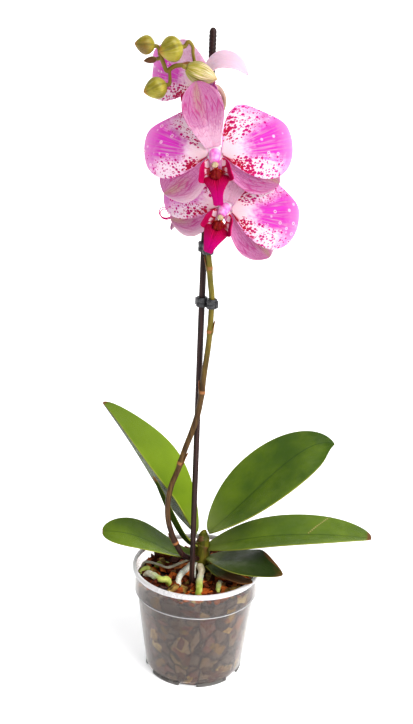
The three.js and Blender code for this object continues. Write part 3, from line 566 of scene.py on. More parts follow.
def catmull(path, count, places=None):
    """Points at even lengths (or at places 0..1) on a centripetal Catmull-Rom curve through path."""
    p = np.array(path, float)
    p = np.concatenate([[2 * p[0] - p[1]], p, [2 * p[-1] - p[-2]]])
    gap = np.sqrt(np.linalg.norm(np.diff(p, axis=0), axis=1))
    t = np.linspace(0, 1, 40, endpoint=False)[:, None]
    dense = []
    for (a, b, c, d), (g0, g1, g2) in zip(zip(p, p[1:], p[2:], p[3:]), zip(gap, gap[1:], gap[2:])):
        m1 = ((b - a) / g0 - (c - a) / (g0 + g1) + (c - b) / g1) * g1
        m2 = ((c - b) / g1 - (d - b) / (g1 + g2) + (d - c) / g2) * g1
        dense.append(b + m1 * t + (3 * (c - b) - 2 * m1 - m2) * t ** 2 + (2 * (b - c) + m1 + m2) * t ** 3)
    dense = np.concatenate(dense + [p[-2:-1]])
    run = np.concatenate([[0], np.cumsum(np.linalg.norm(np.diff(dense, axis=0), axis=1))])
    want = (np.linspace(0, 1, count) if places is None else np.array(places)) * run[-1]
    return np.stack([np.interp(want, run, dense[:, k]) for k in range(3)], -1)


def limb(path, radius, sides=20, relief=None):
    """Rings of radius (one per point of path) across it, with a frame carried along it without
    twist. relief(t, angle) scales each radius. Returns rings, t and angle."""
    path = np.asarray(path, float)
    along = np.gradient(path, axis=0)
    along /= np.linalg.norm(along, axis=1, keepdims=True)
    across = np.cross(along[0], [0.3, 1, 0.2])
    first = []
    for tangent in along:
        across = across - tangent * (across @ tangent)
        across /= np.linalg.norm(across)
        first.append(across)
    first = np.array(first)[:, None]
    second = np.cross(along[:, None], first)
    t = np.linspace(0, 1, len(path))[:, None]
    angle = np.linspace(0, 2 * np.pi, sides, endpoint=False)[None]
    size = np.broadcast_to(np.asarray(radius, float).reshape(-1, 1), t.shape) * np.ones_like(angle)
    if relief:
        size = size * relief(t, angle)
    aside, beyond = (size * np.cos(angle))[..., None], (size * np.sin(angle))[..., None]
    return path[:, None] + first * aside + second * beyond, t + 0 * angle, angle + 0 * t


@effect(["Mask"], Amount=0.0, Grain=0.5, Share=0.5, Low=0.5, High=1.0)
def creeping(amount, grain, share, low, high):
    """Dryness or colour that spreads raggedly: amount + share x grain, smoothly from low to high."""
    return (ease(grain * share + amount, low, high),)


crown = Finish("stem_sheath", Roughness=0.55, Specular_IOR_Level=0.3, Subsurface_Weight=0.08,
               Subsurface_Scale=0.003)
fresh, streak = mottle(crown.place((1, 1, 0.25)), 220, Low=0.35)
crown.colour = blend(fresh, (0.085, 0.085, 0.008), (0.22, 0.20, 0.02))
crown.paint(creeping(crown.read("dry")[0], streak, Low=0.55, High=0.95), (0.16, 0.075, 0.03))
crown.finish(streak, 0.0009)

SHEATHS = [  # foot, top, radius, lean direction, brownness
    (84, 118, 7.2, 0, 0.2), (97, 126, 7.7, 40, 0.45), (104, 131, 7.0, 190, 0.1),
    (108, 130, 6.3, 80, 0.7), (114, 133.5, 5.4, 250, 0.35), (119, 136, 4.4, 130, 0.1),
]
wraps, dryness = [], []
for low, high, radius, lean, brown in SHEATHS:
    t = np.linspace(0, 1, 30)
    axis = np.stack([5 + 0 * t, 4 + 0 * t, low + (high - low) * t], -1)
    rings, t, angle = limb(axis, radius * (1 - 0.12 * t) * np.clip((1 - t) * 12, 0.75, 1), 40)
    rings[..., 2] += 3.2 * np.cos(angle - np.radians(lean)) * t ** 3
    wraps.append(rings)
    dryness.append(brown * (0.4 + 0.9 * t ** 2) + 0.1 * np.sin(5 * angle + low))
piece("stem_sheaths", wraps, crown, "stem_green", "stem", dry=dryness)

velamen = Finish("root_velamen", Roughness=0.72, Subsurface_Weight=0.1, Subsurface_Scale=0.003)
where = velamen.place()
mottled = noise(where, 170, 4)
specks, speck = mottle(where, 900, 3, Low=0.4)
silver = blend(specks, (0.56, 0.56, 0.47), (0.82, 0.82, 0.74))
green = blend(ease(mottled, 0.35, 0.65), (0.30, 0.38, 0.05), (0.56, 0.62, 0.17))
cream = blend(ease(mottled, 0.4, 0.7), (0.72, 0.62, 0.40), (0.86, 0.80, 0.62))
growing, creamy, dry = velamen.read("green", "cream", "dry")
velamen.colour = blend(creeping(growing, mottled, Share=0.35, Low=0.45, High=0.85), silver, green)
velamen.paint(ease(creamy, 0.3, 0.8), cream)
velamen.paint(creeping(dry, mottled, Share=0.3, High=0.9), (0.20, 0.11, 0.05))
velamen.finish(mottled + speck * 0.4, 0.0008)

ROOTS = [  # name, radius, how green at start and end, how cream at start and end, dryness, path
    ("root_front", 3.3, (0, 0.9), (0.9, 0.1), 0,
     [[3.2, -3.6, 104], [4.8, -10, 103.5], [3.4, -22, 100.5], [3, -31, 97.6], [3, -38, 91]]),
    ("root_silver", 2.9, (0.35, 0.1), (0.1, 0), 0,
     [[-2.8, 2, 104.5], [-8, -4, 102], [-13, -11, 100.2], [-16, -18, 98.3], [-17, -25, 91]]),
    ("root_lime", 3.0, (0, 1.0), (0.9, -0.6), 0,
     [[-48, -7, 91], [-45, -11, 98.6], [-38, -18, 99.8], [-32, -23, 99.6], [-27, -22, 99], [-24, -20, 91]]),
    ("root_dry", 1.25, (0.1, 0.1), (0.6, 0.3), 0.45,
     [[-2.4, 6.5, 107], [-14, 2, 104], [-27, -4, 101.5], [-36, 2, 101], [-49, 9, 99], [-53, 11, 91]]),
    ("root_back_left", 2.2, (0.9, 0.5), (0, 0), 0,
     [[-40, 10, 91], [-35, 9, 98.2], [-29, 9, 98.2], [-23, 10, 91]]),
    ("root_left", 2.1, (0.8, 1.0), (0, 0), 0,
     [[-54, -5, 91], [-50, -2, 97.6], [-46, -1, 98.2], [-42, 2, 91]]),
    ("root_right", 2.2, (0.1, 0.8), (0.5, 0.2), 0,
     [[24, -14, 91], [22, -22, 98.2], [20.5, -31, 98.2], [20, -38, 91]]),
    ("root_thin", 1.5, (0, 0), (0.2, 0), 0.2,
     [[-0.6, -1.4, 106], [-2, -7, 101.8], [-1.5, -12, 99], [-0.5, -15, 92]]),
]
ROOT_TIP, ROOT_TIP_SHARE = 0.1, 0.08
for number, (name, radius, greens, creams, dryness, path) in enumerate(ROOTS):
    t = np.linspace(0, 1, 60)
    close = np.clip((1 - t) / ROOT_TIP_SHARE, 0, 1)
    round_end = np.where(close < 1, ROOT_TIP + (1 - ROOT_TIP) * np.sqrt(1 - (1 - close) ** 2), 1)
    lumps = 1 + 0.07 * np.sin(14 * t + number) + 0.05 * np.sin(37 * t + 2 * number)
    rings, t, _ = limb(catmull(path, 60), radius * round_end * lumps, 22,
                       lambda t, a: 1 + 0.05 * np.sin(2 * a + 5 * t) + 0.03 * np.sin(5 * a - 11 * t))
    piece(name, [rings], velamen, "root_skin", name, green=[greens[0] + (greens[1] - greens[0]) * t],
          cream=[creams[0] + (creams[1] - creams[0]) * t], dry=[dryness])

# ---- Leaves ---------------------------------------------------------------------------------
# Fleshy strap leaves with a keel, waxy and mid green above, duller below and painted darker there
# as shade, with a yellow-green margin. Some have a corky scratch or a dry brown tip. One old leaf
# has dried to a brown strip.


def leaf_half_width(s, width, clasp, a, b):
    """Half a leaf's width at s from base (0) to tip (1): s^a (1 - s)^b, scaled to its widest, on
    top of the clasping base."""
    widest = a / (a + b)
    scale = widest ** a * (1 - widest) ** b
    return clasp * np.sqrt(1 - s) + (width - clasp * np.sqrt(1 - widest)) * s ** a * (1 - s) ** b / scale


def sheet_rings(points, thickness, edge=8, end=12, thin=0.3):
    """Rings round a thin sheet: its points (n, m, 3) moved out both ways along their normals by
    half the thickness, which thins towards the margins. Also returns a way to lay a value per
    point (n, m) over both faces, and the value +1 on the upper face and -1 on the lower."""
    n, m = points.shape[:2]
    normal = np.cross(np.gradient(points, axis=0), np.gradient(points, axis=1))
    normal /= np.linalg.norm(normal, axis=-1, keepdims=True) + 1e-12
    u, v = np.linspace(0, 1, n)[:, None], np.linspace(-1, 1, m)[None]
    full = np.sqrt(np.clip(1 - np.abs(v) ** edge, 0, 1)) * np.sqrt(np.clip(1 - u ** end, 0, 1))
    half = (0.5 * thickness * np.maximum(full, thin))[..., None] * normal

    def both(value):
        flat = value + 0 * u * v
        return np.concatenate([flat, flat[:, ::-1]], 1)

    face = np.concatenate([np.ones((n, m)), -np.ones((n, m))], 1)
    return np.concatenate([points + half, (points - half)[:, ::-1]], 1), both, face


def bezier(s, p):
    """A cubic Bezier curve's places and directions at s."""
    a, b, c, d = np.array(p, float)
    place = (1 - s) ** 3 * a + 3 * s * (1 - s) ** 2 * b + 3 * s ** 2 * (1 - s) * c + s ** 3 * d
    along = 3 * (1 - s) ** 2 * (b - a) + 6 * s * (1 - s) * (c - b) + 3 * s ** 2 * (d - c)
    return place, along / np.linalg.norm(along, axis=1, keepdims=True)


def vector(x, y, z=0.0):
    tree = next(value.tree for value in (x, y, z) if isinstance(value, Signal))
    return Signal(put(tree, "CombineXYZ", {"X": x, "Y": y, "Z": z}).outputs[0])


@effect(["Value"], Across=0.0, Along=0.0, Scale=1.0, Warp=0.6, Detail=2.0, Spread=1.0)
def stripes(across, along, scale, warp, detail, spread):
    """Lengthwise bands across a blade, bent by warp."""
    inputs = {"Vector": vector(across, along), "Scale": scale, "Distortion": warp, "Detail": detail,
              "Detail Scale": spread}
    return (Signal(put(across.tree, "TexWave", inputs, bands_direction="X").outputs["Fac"]),)


LEAVES = [  # name, midrib, half width, clasp, outline powers, bank, fold, dry tip, waviness, painted light, painted shade and age
    ("leaf_upper_left", [[-1.8, 6, 133], [-39, 7, 168], [-39, 4, 192], [-91, 19, 256]],
     39, 3.5, (0.8, 0.59), (22, -13), (51, 21), 0.03, 0.5, 0.50, 0),
    ("leaf_upper_right", [[10.5, 6, 134], [47, 15, 161], [96, 39, 226], [126, 39, 214]],
     41, 4, (0.7, 0.9), (5, -19), (19, -6), 0.02, 0.6, 0, 0.05),
    ("leaf_right", [[11, 2.2, 121], [58, -6, 141], [105, -12, 148], [158, -22, 148]],
     31.8, 5, (0.84, 0.48), (-13, 10), (12, 11), 0.07, 0.4, 0.16, 0),
    ("leaf_lower_right", [[10.2, -1.9, 112], [43, -13, 114], [35, -28, 129], [78, -41, 119]],
     23.8, 5, (0.75, 0.73), (8, -13), (9, 2), 0.25, 0.5, 0, 0.75),
    ("leaf_lower_left", [[-2, 9, 112], [-19, 3, 96], [-41, -6, 142], [-88, -10, 140]],
     25.3, 3.5, (0.78, 0.47), (-15, 15), (27, 2), 0.02, 0.4, 0.12, 0),
    ("leaf_narrow", [[-1.2, 1.6, 121], [-19, -8, 131], [-30, -16, 172], [-41.4, -26, 205]],
     6, 3, (0.5, 0.5), (4, 4), (40, 30), 0.14, 0.3, 0.2, 0),
    ("leaf_old", [[10, -5, 105], [22, -14, 101], [34, -28, 103], [51, -38, 108]],
     9, 3.5, (0.7, 0.5), (10, 0), (20, 10), 1.5, 0.9, 0, 0),
]

leaf_green = Finish("leaf_green", Specular_IOR_Level=0.11)
where = leaf_green.place()
cloudy, patch = mottle(where, 22)
fine = noise(where, 150, 4)
across, along, young, aged, face, scar, dry = leaf_green.read(
    "across", "along", "young", "aged", "face", "mark", "dry")
vein = stripes(across * 11.0, along)
leaf_green.colour = blend(cloudy, (0.050, 0.112, 0.004), (0.158, 0.245, 0.010))
leaf_green.paint(ease(vein, 0.5, 1.0, 0, 0.22), (0.20, 0.29, 0.035))
leaf_green.paint(ease(fine, 0.55, 0.8, 0, 0.3), (0.19, 0.27, 0.04))
# Painted light: some whole leaves are made lighter green, standing for the light falling on them.
leaf_green.paint(young, (0.30, 0.42, 0.035))
# Painted shade and real age: the lower right leaf is old and also lies in shadow under the right leaf, so it
# is painted darker green.
leaf_green.paint(aged, (0.020, 0.036, 0.004))
# The underside is a duller green, painted darker still as shade.
under = blend(cloudy, (0.026, 0.050, 0.005), (0.065, 0.100, 0.009))
leaf_green.paint(ease(face, -0.5, 0.5, 1, 0), under)
# Painted shade: a darker line along the middle stands for the shadow in the midrib groove.
leaf_green.paint(ease(abs(across), 0.0, 0.045, 0.7, 0), (0.035, 0.08, 0.008))
leaf_green.paint(ease(along, 0.0, 0.22, 0.55, 0), (0.36, 0.44, 0.10))
leaf_green.paint(ease(abs(across), 0.965, 1.0, 0, 0.55), (0.36, 0.36, 0.07))
leaf_green.paint(creeping(scar, noise(where, 90, 4), Low=0.85, High=1.15), (0.52, 0.38, 0.16))
fray = noise(where, 60, 5)
leaf_green.paint(creeping(dry, fray, Low=0.72), (0.26, 0.125, 0.05))
corky = creeping(dry, fray, Low=0.7)
leaf_green.drive("Roughness", ease(fine, 0.3, 0.7, 0.33, 0.48) + corky * 0.35)
leaf_green.finish(vein * 0.5 + (fine + patch), 0.0009, 0.7)

for number, (name, midrib, width, clasp, powers, banks, folds, *rest) in enumerate(LEAVES):
    dry_tip, wavy, young, aged = rest
    u = np.linspace(0, 1, 110)
    s = np.minimum(1 - (1 - u) ** 1.35, 0.998)[:, None]
    v = np.sin(np.linspace(-1, 1, 41) * np.pi / 2)[None]
    rib, along = bezier(s, midrib)
    flat = np.cross(along, [0, 0, 1])
    flat /= np.linalg.norm(flat, axis=1, keepdims=True)
    top = np.cross(flat, along)
    bank = np.radians(banks[0] + (banks[1] - banks[0]) * s)
    side = flat * np.cos(bank) + top * np.sin(bank)
    rise = top * np.cos(bank) - flat * np.sin(bank)
    fold = np.radians(folds[0] + (folds[1] - folds[0]) * s)
    half = leaf_half_width(s, width, clasp, *powers)
    reach = half * v
    lift = (np.sqrt(reach ** 2 + (0.05 * half) ** 2) - 0.05 * half) * np.sin(fold)
    ends = np.minimum(1, 4 * s) * np.minimum(1, 5 * (1 - s))
    lift = lift + wavy * np.sin(9 * s + 2.1 * np.sign(v) + number) * v ** 2 * ends
    sheet = rib[:, None] + side[:, None] * (reach * np.cos(fold))[..., None] + rise[:, None] * lift[..., None]
    rings, both, face = sheet_rings(sheet, 1.7 - 0.7 * s)
    brown = np.clip((s - (1 - dry_tip)) / dry_tip, 0, 1) + 0 * v
    if name == "leaf_lower_right":
        brown = np.maximum(brown * 0.75, 1.2 * np.clip((s - 0.55) * 3, 0, 1) * np.clip(-v * 2 - 0.9, 0, 1))
    mark = 0 * s * v
    if name == "leaf_right":
        mark = 1.2 * np.exp(-((s - 0.62 + 0.13 * v) / 0.007) ** 2) * (v < -0.05) * (v > -0.93)
    piece(name, [rings], leaf_green, "old_leaf" if name == "leaf_old" else "leaf_green", name, ends="strip",
          across=[both(v)], along=[both(s)], face=[-face], dry=[both(brown)], mark=[both(mark)],
          young=[both(young)], aged=[both(aged)])

# ---- Stake and clips ------------------------------------------------------------------------
# The stake is a split-bamboo cane dipped in dark brown, with a rounded, ribbed end. Two spring
# clips of dark grey plastic hold the spike to it: a ring for each, joined back to back.

STAKE_FOOT, STAKE_MIDDLE, STAKE_TIP = np.array([[-3.8, -17.7, 11], [-4.6, -21.5, 290], [-1.5, -22, 586.5]])
STAKE_RADIUS, STAKE_FLARE, STAKE_LENGTH, SPIKE_RADIUS, CLIP_PLAY = 2.4, 0.6, 586, 2.5, 0.35
RIBS_FROM, DOME_FROM, RIB_PITCH = 0.957, 0.9935, 3.0
CLIPS = [("clip_lower", 365.5), ("clip_upper", 413)]

cane = Finish("stake_brown", Roughness=0.5, Specular_IOR_Level=0.35)
fibrous, grain = mottle(cane.place((1, 1, 0.03)), 900, Low=0.35)
worn, _ = mottle(cane.place((1, 1, 0.3)), 60, Low=0.55, High=0.8, Most=0.45)
cane.colour = blend(fibrous, (0.018, 0.008, 0.008), (0.060, 0.024, 0.020))
cane.paint(worn, (0.13, 0.07, 0.05))
cane.finish(grain, 0.0004)

t = np.concatenate([
    np.linspace(0, 0.955, 90, endpoint=False), np.linspace(0.955, DOME_FROM, 60, endpoint=False),
    DOME_FROM + (1 - DOME_FROM) * np.sin(np.linspace(0, np.pi / 2, 10)),
])
s = t[:, None]
stake_path = (1 - s) ** 2 * STAKE_FOOT + 2 * s * (1 - s) * STAKE_MIDDLE + s ** 2 * STAKE_TIP
dome = np.sqrt(np.clip(1 - (np.maximum(0, t - DOME_FROM) / 0.0067) ** 2, 0.02, 1))
ribs = 0.16 * np.sin(t * STAKE_LENGTH * 2 * np.pi / RIB_PITCH)
ribs = ribs * np.clip((t - RIBS_FROM) * 90, 0, 1) * (t < DOME_FROM)
rings, _, _ = limb(stake_path, (STAKE_RADIUS + STAKE_FLARE * t) * dome + ribs - 0.1, 26,
                   lambda t, a: 1 + 0.02 * np.sin(3 * a + 8 * t) + 0.012 * np.sin(11 * a))
piece("stake_rod", [rings], cane, "stake_brown", "stake")

SPIKE_PATH = [
    [0.5, -2.2, 111], [-5, -11, 116], [-13, -20.5, 124.8], [-19.9, -24.5, 139], [-24.2, -28, 152.8],
    [-26.6, -31, 164.2], [-27.5, -32, 175.5], [-27, -32, 186.6], [-24.3, -31, 200], [-19.1, -30, 214.2],
    [-13.9, -30, 232.7], [-8.5, -29.5, 249], [-4, -29.8, 265], [-1.4, -30, 280], [0.7, -29.5, 303],
    [3.9, -27.5, 333], [4.9, -26.5, 358], [5, -27, 371], [3.2, -29, 386], [0.8, -31, 410],
    [-2.2, -33.0, 441.5], [-3.9, -33.5, 465.8], [-5.3, -33.0, 485.7], [-6.1, -42.0, 506.4],
    [-7.4, -53.0, 530.3], [-8.5, -51.5, 542.8], [-12.7, -48.5, 553.6], [-18.3, -47.5, 560.0],
    [-23.6, -48.0, 559.1], [-29.6, -49.0, 558.2], [-33.4, -49.5, 555.9], [-35.6, -50.0, 554.4],
    [-38.8, -50.5, 560.9], [-41.5, -51.5, 567.4],
]
spike_line = catmull(SPIKE_PATH, 700)

clip_grey = Finish("clip_grey", Roughness=0.42)
scuffed, scuff = mottle(clip_grey.place(), 700, Low=0.4, High=0.75)
clip_grey.colour = blend(scuffed, (0.030, 0.030, 0.033), (0.085, 0.085, 0.09))
clip_grey.finish(scuff, 0.0003)


def clip_rings(span, height):
    """A clip along +X: an open ring round the stake and one round the spike, span mm apart, each
    with a pair of lugs at its gap."""
    section = np.array([[0, -4], [0.75, -4.2], [1.55, -4], [1.8, -3.4], [1.8, -1.1], [1.62, -0.8],
                        [1.62, 0.8], [1.8, 1.1], [1.8, 3.4], [1.55, 4], [0.75, 4.2], [0, 4], [-0.05, 0]])
    lug = np.array([[0, -3.4], [0.9, -3.4], [0.9, 3.4], [0, 3.4]])
    out = np.linspace(0, 2.2, 6)[:, None]
    round_stake = STAKE_RADIUS + STAKE_FLARE * height / STAKE_LENGTH + CLIP_PLAY
    loops = []
    for radius, shift, way in [(round_stake, 0, -1), (SPIKE_RADIUS + CLIP_PLAY, span, 1)]:
        swing = np.linspace(0.16, 2 * np.pi - 0.16, 56)[:, None] + (np.pi if way < 0 else 0)
        reach = radius + section[None, :, 0]
        loops.append(np.stack([
            shift + reach * np.cos(swing), reach * np.sin(swing), section[:, 1] + 0 * swing], -1))
        for sign in (1, -1):
            loops.append(np.stack([shift + way * (radius + 0.7 + out) + 0 * lug[:, 0],
                                   sign * (0.35 + lug[:, 0]) + 0 * out, lug[:, 1] * (1 - 0.05 * out)], -1))
    return loops


for name, height in CLIPS:
    low = stake_path[np.argmin(np.abs(stake_path[:, 2] - height))]
    held = spike_line[np.argmin(np.abs(spike_line[:, 2] - height))]
    x, y = held[:2] - low[:2]
    span = np.hypot(x, y)
    turn = np.array([[x, -y, 0], [y, x, 0], [0, 0, span]]) / span
    piece(name, [rings @ turn.T + [low[0], low[1], height] for rings in clip_rings(span, height)],
          clip_grey, "clip_grey", name)

# ---- Flower spike ---------------------------------------------------------------------------
# One grown stalk, purple-brown below and olive green above, ringed where a papery bract hugs each
# node. Slim stalks leave it for the flowers and buds.

SPIKE_NODES = [0.085, 0.25, 0.385, 0.49, 0.6]

spike_skin = Finish("spike_skin", Roughness=0.45, Specular_IOR_Level=0.3, Subsurface_Weight=0.06,
                    Subsurface_Scale=0.002)
dull, streak = mottle(spike_skin.place((1, 1, 0.12)), 420, Low=0.35)
upright = Signal(put(spike_skin.tree, "SeparateXYZ", {"Vector": spike_skin.place()}).outputs["Z"])
height = noise(spike_skin.place(), 75, 4) * 0.05 + upright
pink, ring = spike_skin.read("pink", "ring")
spike_skin.colour = blend(dull, (0.018, 0.006, 0.007), (0.058, 0.022, 0.015))
spike_skin.paint(ease(height, 0.15, 0.235), blend(dull, (0.060, 0.028, 0.009), (0.14, 0.075, 0.018)))
olive = blend(ease(streak, 0.3, 0.7), (0.085, 0.080, 0.008), (0.21, 0.165, 0.018))
spike_skin.paint(ease(height, 0.30, 0.40), olive)
spike_skin.paint(ease(height, 0.52, 0.575), (0.25, 0.19, 0.03))
spike_skin.paint(ease(pink, 0, 1), (0.66, 0.46, 0.40))
spike_skin.paint(ease(ring, 0.25, 0.9), (0.33, 0.14, 0.05))
spike_skin.finish(streak, 0.0005)

t = np.linspace(0, 1, 700)
swell = sum(np.exp(-((t - node) / 0.006) ** 2) for node in SPIKE_NODES)
radius = SPIKE_RADIUS - 0.9 * np.maximum(0, (t - 0.55) / 0.45) + 0.5 * swell
rings, t, _ = limb(spike_line, radius, 24, lambda t, a: 1 + 0.02 * np.sin(4 * a + 20 * t))
marks = sum(np.exp(-((t - node) / 0.0035) ** 2) for node in SPIKE_NODES) + np.exp(-((t - 0.94) / 0.008) ** 2)
piece("spike_stalk", [rings], spike_skin, "spike_skin", "spike", ring=[marks], pink=[0])


def spike_at(t):
    return catmull(SPIKE_PATH, 2, [0, t])[1]


bracts, dryness = [], []
for i, node in enumerate(SPIKE_NODES):
    u, v = np.linspace(0, 1, 18)[:, None], np.linspace(-1, 1, 17)[None]
    base, end = spike_at(node - 0.003), spike_at(node + 0.020)
    swing = (0.2 if i % 2 else np.pi - 0.4) + 1.5 * v * (1 - u) ** 0.75
    reach = 2.95 + 0.9 * u ** 2 + 0.12 * np.cos(7 * v)
    outward = np.stack([np.cos(swing), np.sin(swing), 0 * swing], -1)
    sheet = base + (end - base) * u[..., None] + reach[..., None] * outward
    rings, both, _ = sheet_rings(sheet, 0.5, thin=0.35)
    bracts.append(rings)
    dryness.append(both(0.3 + 0.7 * u))
piece("spike_bracts", bracts, spike_skin, "spike_skin", "spike", ends="strip", ring=dryness,
      pink=[0] * len(bracts))

# Every flower stands in its own frame: +X to the viewer's right, +Y up, +Z out of its face.
BLOOMS = {  # centre, (yaw, pitch, roll) in degrees, size, height on the spike, points on the stalk
    "bloom_front": ([3.2, -62, 494.3], (-4, 2, 8), 1.05, 462, [[3, -34, 477]]),
    "bloom_low": ([13, -47, 450], (-12, 4, -16), 1.0, 430, [[8, -27, 440]]),
    "bloom_top": ([-7.9, -36.0, 541.6], (-75, 4, -8), 0.97, 503, [[5, -32, 517], [9, -31, 533]]),
    "bloom_left": ([-9, 8, 468], (-76, 14, -4), 0.95, 448, [[8, -22, 455], [10, -6, 464]]),
}


def flower_points(bloom, local):
    """Points of a flower's own frame, sized, turned and put in its place."""
    centre, turn, size, _, _ = BLOOMS[bloom]
    yaw, pitch, roll = np.radians(turn)
    face = np.array([np.sin(yaw) * np.cos(pitch), -np.cos(yaw) * np.cos(pitch), np.sin(pitch)])
    right = np.array([np.cos(yaw), np.sin(yaw), 0])
    c, s = np.cos(roll), np.sin(roll)
    rolled = np.array([[c, -s, 0], [s, c, 0], [0, 0, 1]])
    axes = np.column_stack([right, np.cross(face, right), face]) @ rolled
    return np.asarray(local, float) @ (size * axes).T + centre


stalks, pinks = [], []
for bloom, (_, _, _, height, via) in BLOOMS.items():
    start = spike_line[np.argmax(spike_line[:, 2] >= height)]
    ends = flower_points(bloom, [[0, 1.5, -12], [0, 1.5, -4.4]])
    rings, t, _ = limb(catmull([start, *via, *ends], 80), 1.3 + 0.9 * np.linspace(0, 1, 80) ** 2, 18,
                       lambda t, a: 1 + 0.06 * np.cos(6 * a) * t)
    stalks.append(rings)
    pinks.append(0.9 * t ** 1.2)
piece("flower_stalks", stalks, spike_skin, "spike_skin", "spike",
      ring=[np.exp(-(p / 0.05) ** 2) for p in pinks], pink=pinks)

BUDS = {  # base, tip, radius, place along the spike, points on the stalk, blush
    "bud_end": ([-45.5, -53, 572.5], [-60.2, -55, 574], 7.2, 1, [], 0.5),
    "bud_tall": ([-24.9, -54.0, 572.5], [-41.5, -60.0, 568.6], 9.8, 0.918,
                 [[-16.1, -52.5, 567.6], [-16.6, -53.5, 573.2], [-19.6, -54.3, 576.6]], 0.25),
    "bud_big": ([-20.4, -61.5, 558.0], [2.7, -57.8, 550], 8.4, 0.93, [], 0.2),
    "bud_low": ([-36.1, -51, 544], [-52.9, -55, 538.6], 8.4, 0.967, [], 0.0),
    "bud_tiny": ([-43.5, -51.5, 563], [-53.5, -52, 561.2], 2.6, 0.986, [], 0.9),
}
stalks = []
for base, tip, _, leaves_at, via, _ in BUDS.values():
    base, tip = np.array(base, float), np.array(tip, float)
    back = (base - tip) / np.linalg.norm(base - tip)
    end = base + back * 0.1
    rings, t, _ = limb(catmull([spike_at(leaves_at), *via, end + back * 2.5, end], 60),
                       1.25 + 0.5 * np.linspace(0, 1, 60) ** 4, 18)
    stalks.append(rings)
piece("bud_stalks", stalks, spike_skin, "spike_skin", "spike",
      ring=[0.5 * np.exp(-(t / 0.08) ** 2)] * len(stalks), pink=[0] * len(stalks))

# ---- Flowers --------------------------------------------------------------------------------
# Three sepals behind two broad petals, all thin, waxy and slightly see-through: white grounds
# under a magenta flush, crimson freckles that crowd towards the centre, and fine veins.

TEPAL_THICKNESS, WAIST_DEPTH, WAIST_SOFTNESS = 0.85, 0.23, 0.008


def bend(spec, d):
    """How far a blade has gone along the face and out of it after d along its middle: an arc that
    starts at lean degrees out of the face and turns by recurve over its length."""
    start, turn = np.radians(spec.lean), np.radians(spec.recurve) / spec.length
    along = (np.sin(start + turn * d) - np.sin(start)) / turn
    return along, spec.rise + (np.cos(start + turn * d) - np.cos(start)) / turn


def sepal_sheet(spec):
    """s along and v across; half width ~ (s + 0.07)^1.3 (1 - s)^0.7, widest at 0.65. The blade is
    cupped by cup and twisted about its middle by up to twist."""
    s = np.minimum(1 - (1 - np.linspace(0, 1, 76)) ** 1.5, 0.997)[:, None]
    v = np.sin(np.linspace(-1, 1, 45) * np.pi / 2)[None]
    half = spec.spread * (s + 0.07) ** 1.3 * (1 - s) ** 0.7 / (0.72 ** 1.3 * 0.35 ** 0.7) + 4.6 * (1 - s) ** 4
    along, out = bend(spec, s * spec.length)
    keel = -0.35 * np.exp(-(v / 0.10) ** 2) * (1 - s) + 0.3 * np.sin(11 * s + 3 * v) * v ** 2 * s
    turn = np.radians(spec.twist) * np.minimum(1, 2 * s)
    bent = np.radians(spec.lean + spec.recurve * s)
    raised = half * v * np.sin(turn)
    local = np.stack([spec.hub + along + raised * np.sin(bent), half * v * np.cos(turn),
                      out + spec.cup * half * v ** 2 + keel + raised * np.cos(bent)], -1)
    c, w = np.cos(np.radians(spec.angle)), np.sin(np.radians(spec.angle))
    return local @ np.array([[c, w, 0], [-w, c, 0], [0, 0, 1]]), s, v, s * spec.length + 0 * v, half * v


def petal_sheet(spec):
    """A fan: rim (1 - |x|^5)^0.8 (1 - waist sin(pi a)) of the length at x across, where a is the
    larger of x and 0, rounded off. Its margin is ruffled, and its upper half swept back by
    sweep x^2."""
    mirror = -1 if np.cos(np.radians(spec.angle)) < 0 else 1
    middle = 180 - spec.angle if mirror < 0 else spec.angle
    u = (1 - (1 - np.linspace(0, 1, 62)) ** 1.25)[:, None]
    x = 0.97 * np.linspace(-1, 1, 97)[None]
    angle = np.radians(middle + spec.spread * x)
    above = np.minimum(1, 0.5 * (x + np.sqrt(x ** 2 + WAIST_SOFTNESS)))
    rim = (1 - np.abs(x) ** 5) ** 0.8 * (1 - WAIST_DEPTH * np.sin(np.pi * above))
    reach = (0.02 + 0.98 * u) * spec.length * rim
    along, out = bend(spec, reach)
    ruffle = 1.2 * u ** 2 * np.sin(7 * x + 1) + 0.35 * u ** 6 * np.sin(23 * x + spec.length)
    ribs = (0.8 * np.exp(-(x / 0.05) ** 2) + 0.25 * np.cos(40 * x)) * u * (1 - u)
    local = np.stack([mirror * (spec.hub + along * np.cos(angle)), along * np.sin(angle),
                      out + ruffle - ribs - spec.sweep * np.maximum(x, 0) ** 2 * u], -1)
    return local, reach / spec.length, x + 0 * u, reach, angle * (14 + 0.5 * reach)


@effect(["Value"], Along=0.0, Across=0.0, Number=0.0, Scale=1.0, Detail=4.0)
def fibres(along, across, number, scale, detail):
    """Long soft fibres: a noise on along and across, different for each number."""
    return (noise(vector(along, across, number), scale, detail, 0.5),)


@effect(["Spots", "Distance", "Lot"], Place=None, Scale=0.4, Size=0.4, Chance=0.5, Wobble=0.5)
def freckles(place, scale, size, chance, wobble):
    """Round-cornered spots: where a cell's number is under chance, within size of its middle."""
    moved = shifted(place, noise(place, 2.2, 2, output="Color"), wobble)
    distance, lot, other = cells(moved, scale, 0.85)
    gap = size * ease(other, 0, 1, 0.55, 1.15) - distance
    inside = gap.step("MULTIPLY", gap, 14.0, clamp=True)
    return inside * (chance > lot), distance, lot


def tepal_finish(name, other):
    """A tepal's finish, and what it reads: rho along it, xi across it, its number, how much paler it
    is made and one other value, with the place on the blade laid flat."""
    made = Finish(name, Subsurface_Weight=0.2, Subsurface_Scale=0.0012, Specular_IOR_Level=0.2, Roughness=0.5)
    rho, xi, seed, pale, value, x, y = made.read("rho", "xi", "seed", "pale", other, "flat_x", "flat_y")
    return made, rho, xi, seed, pale, value, vector(x, y, seed * 19.0)


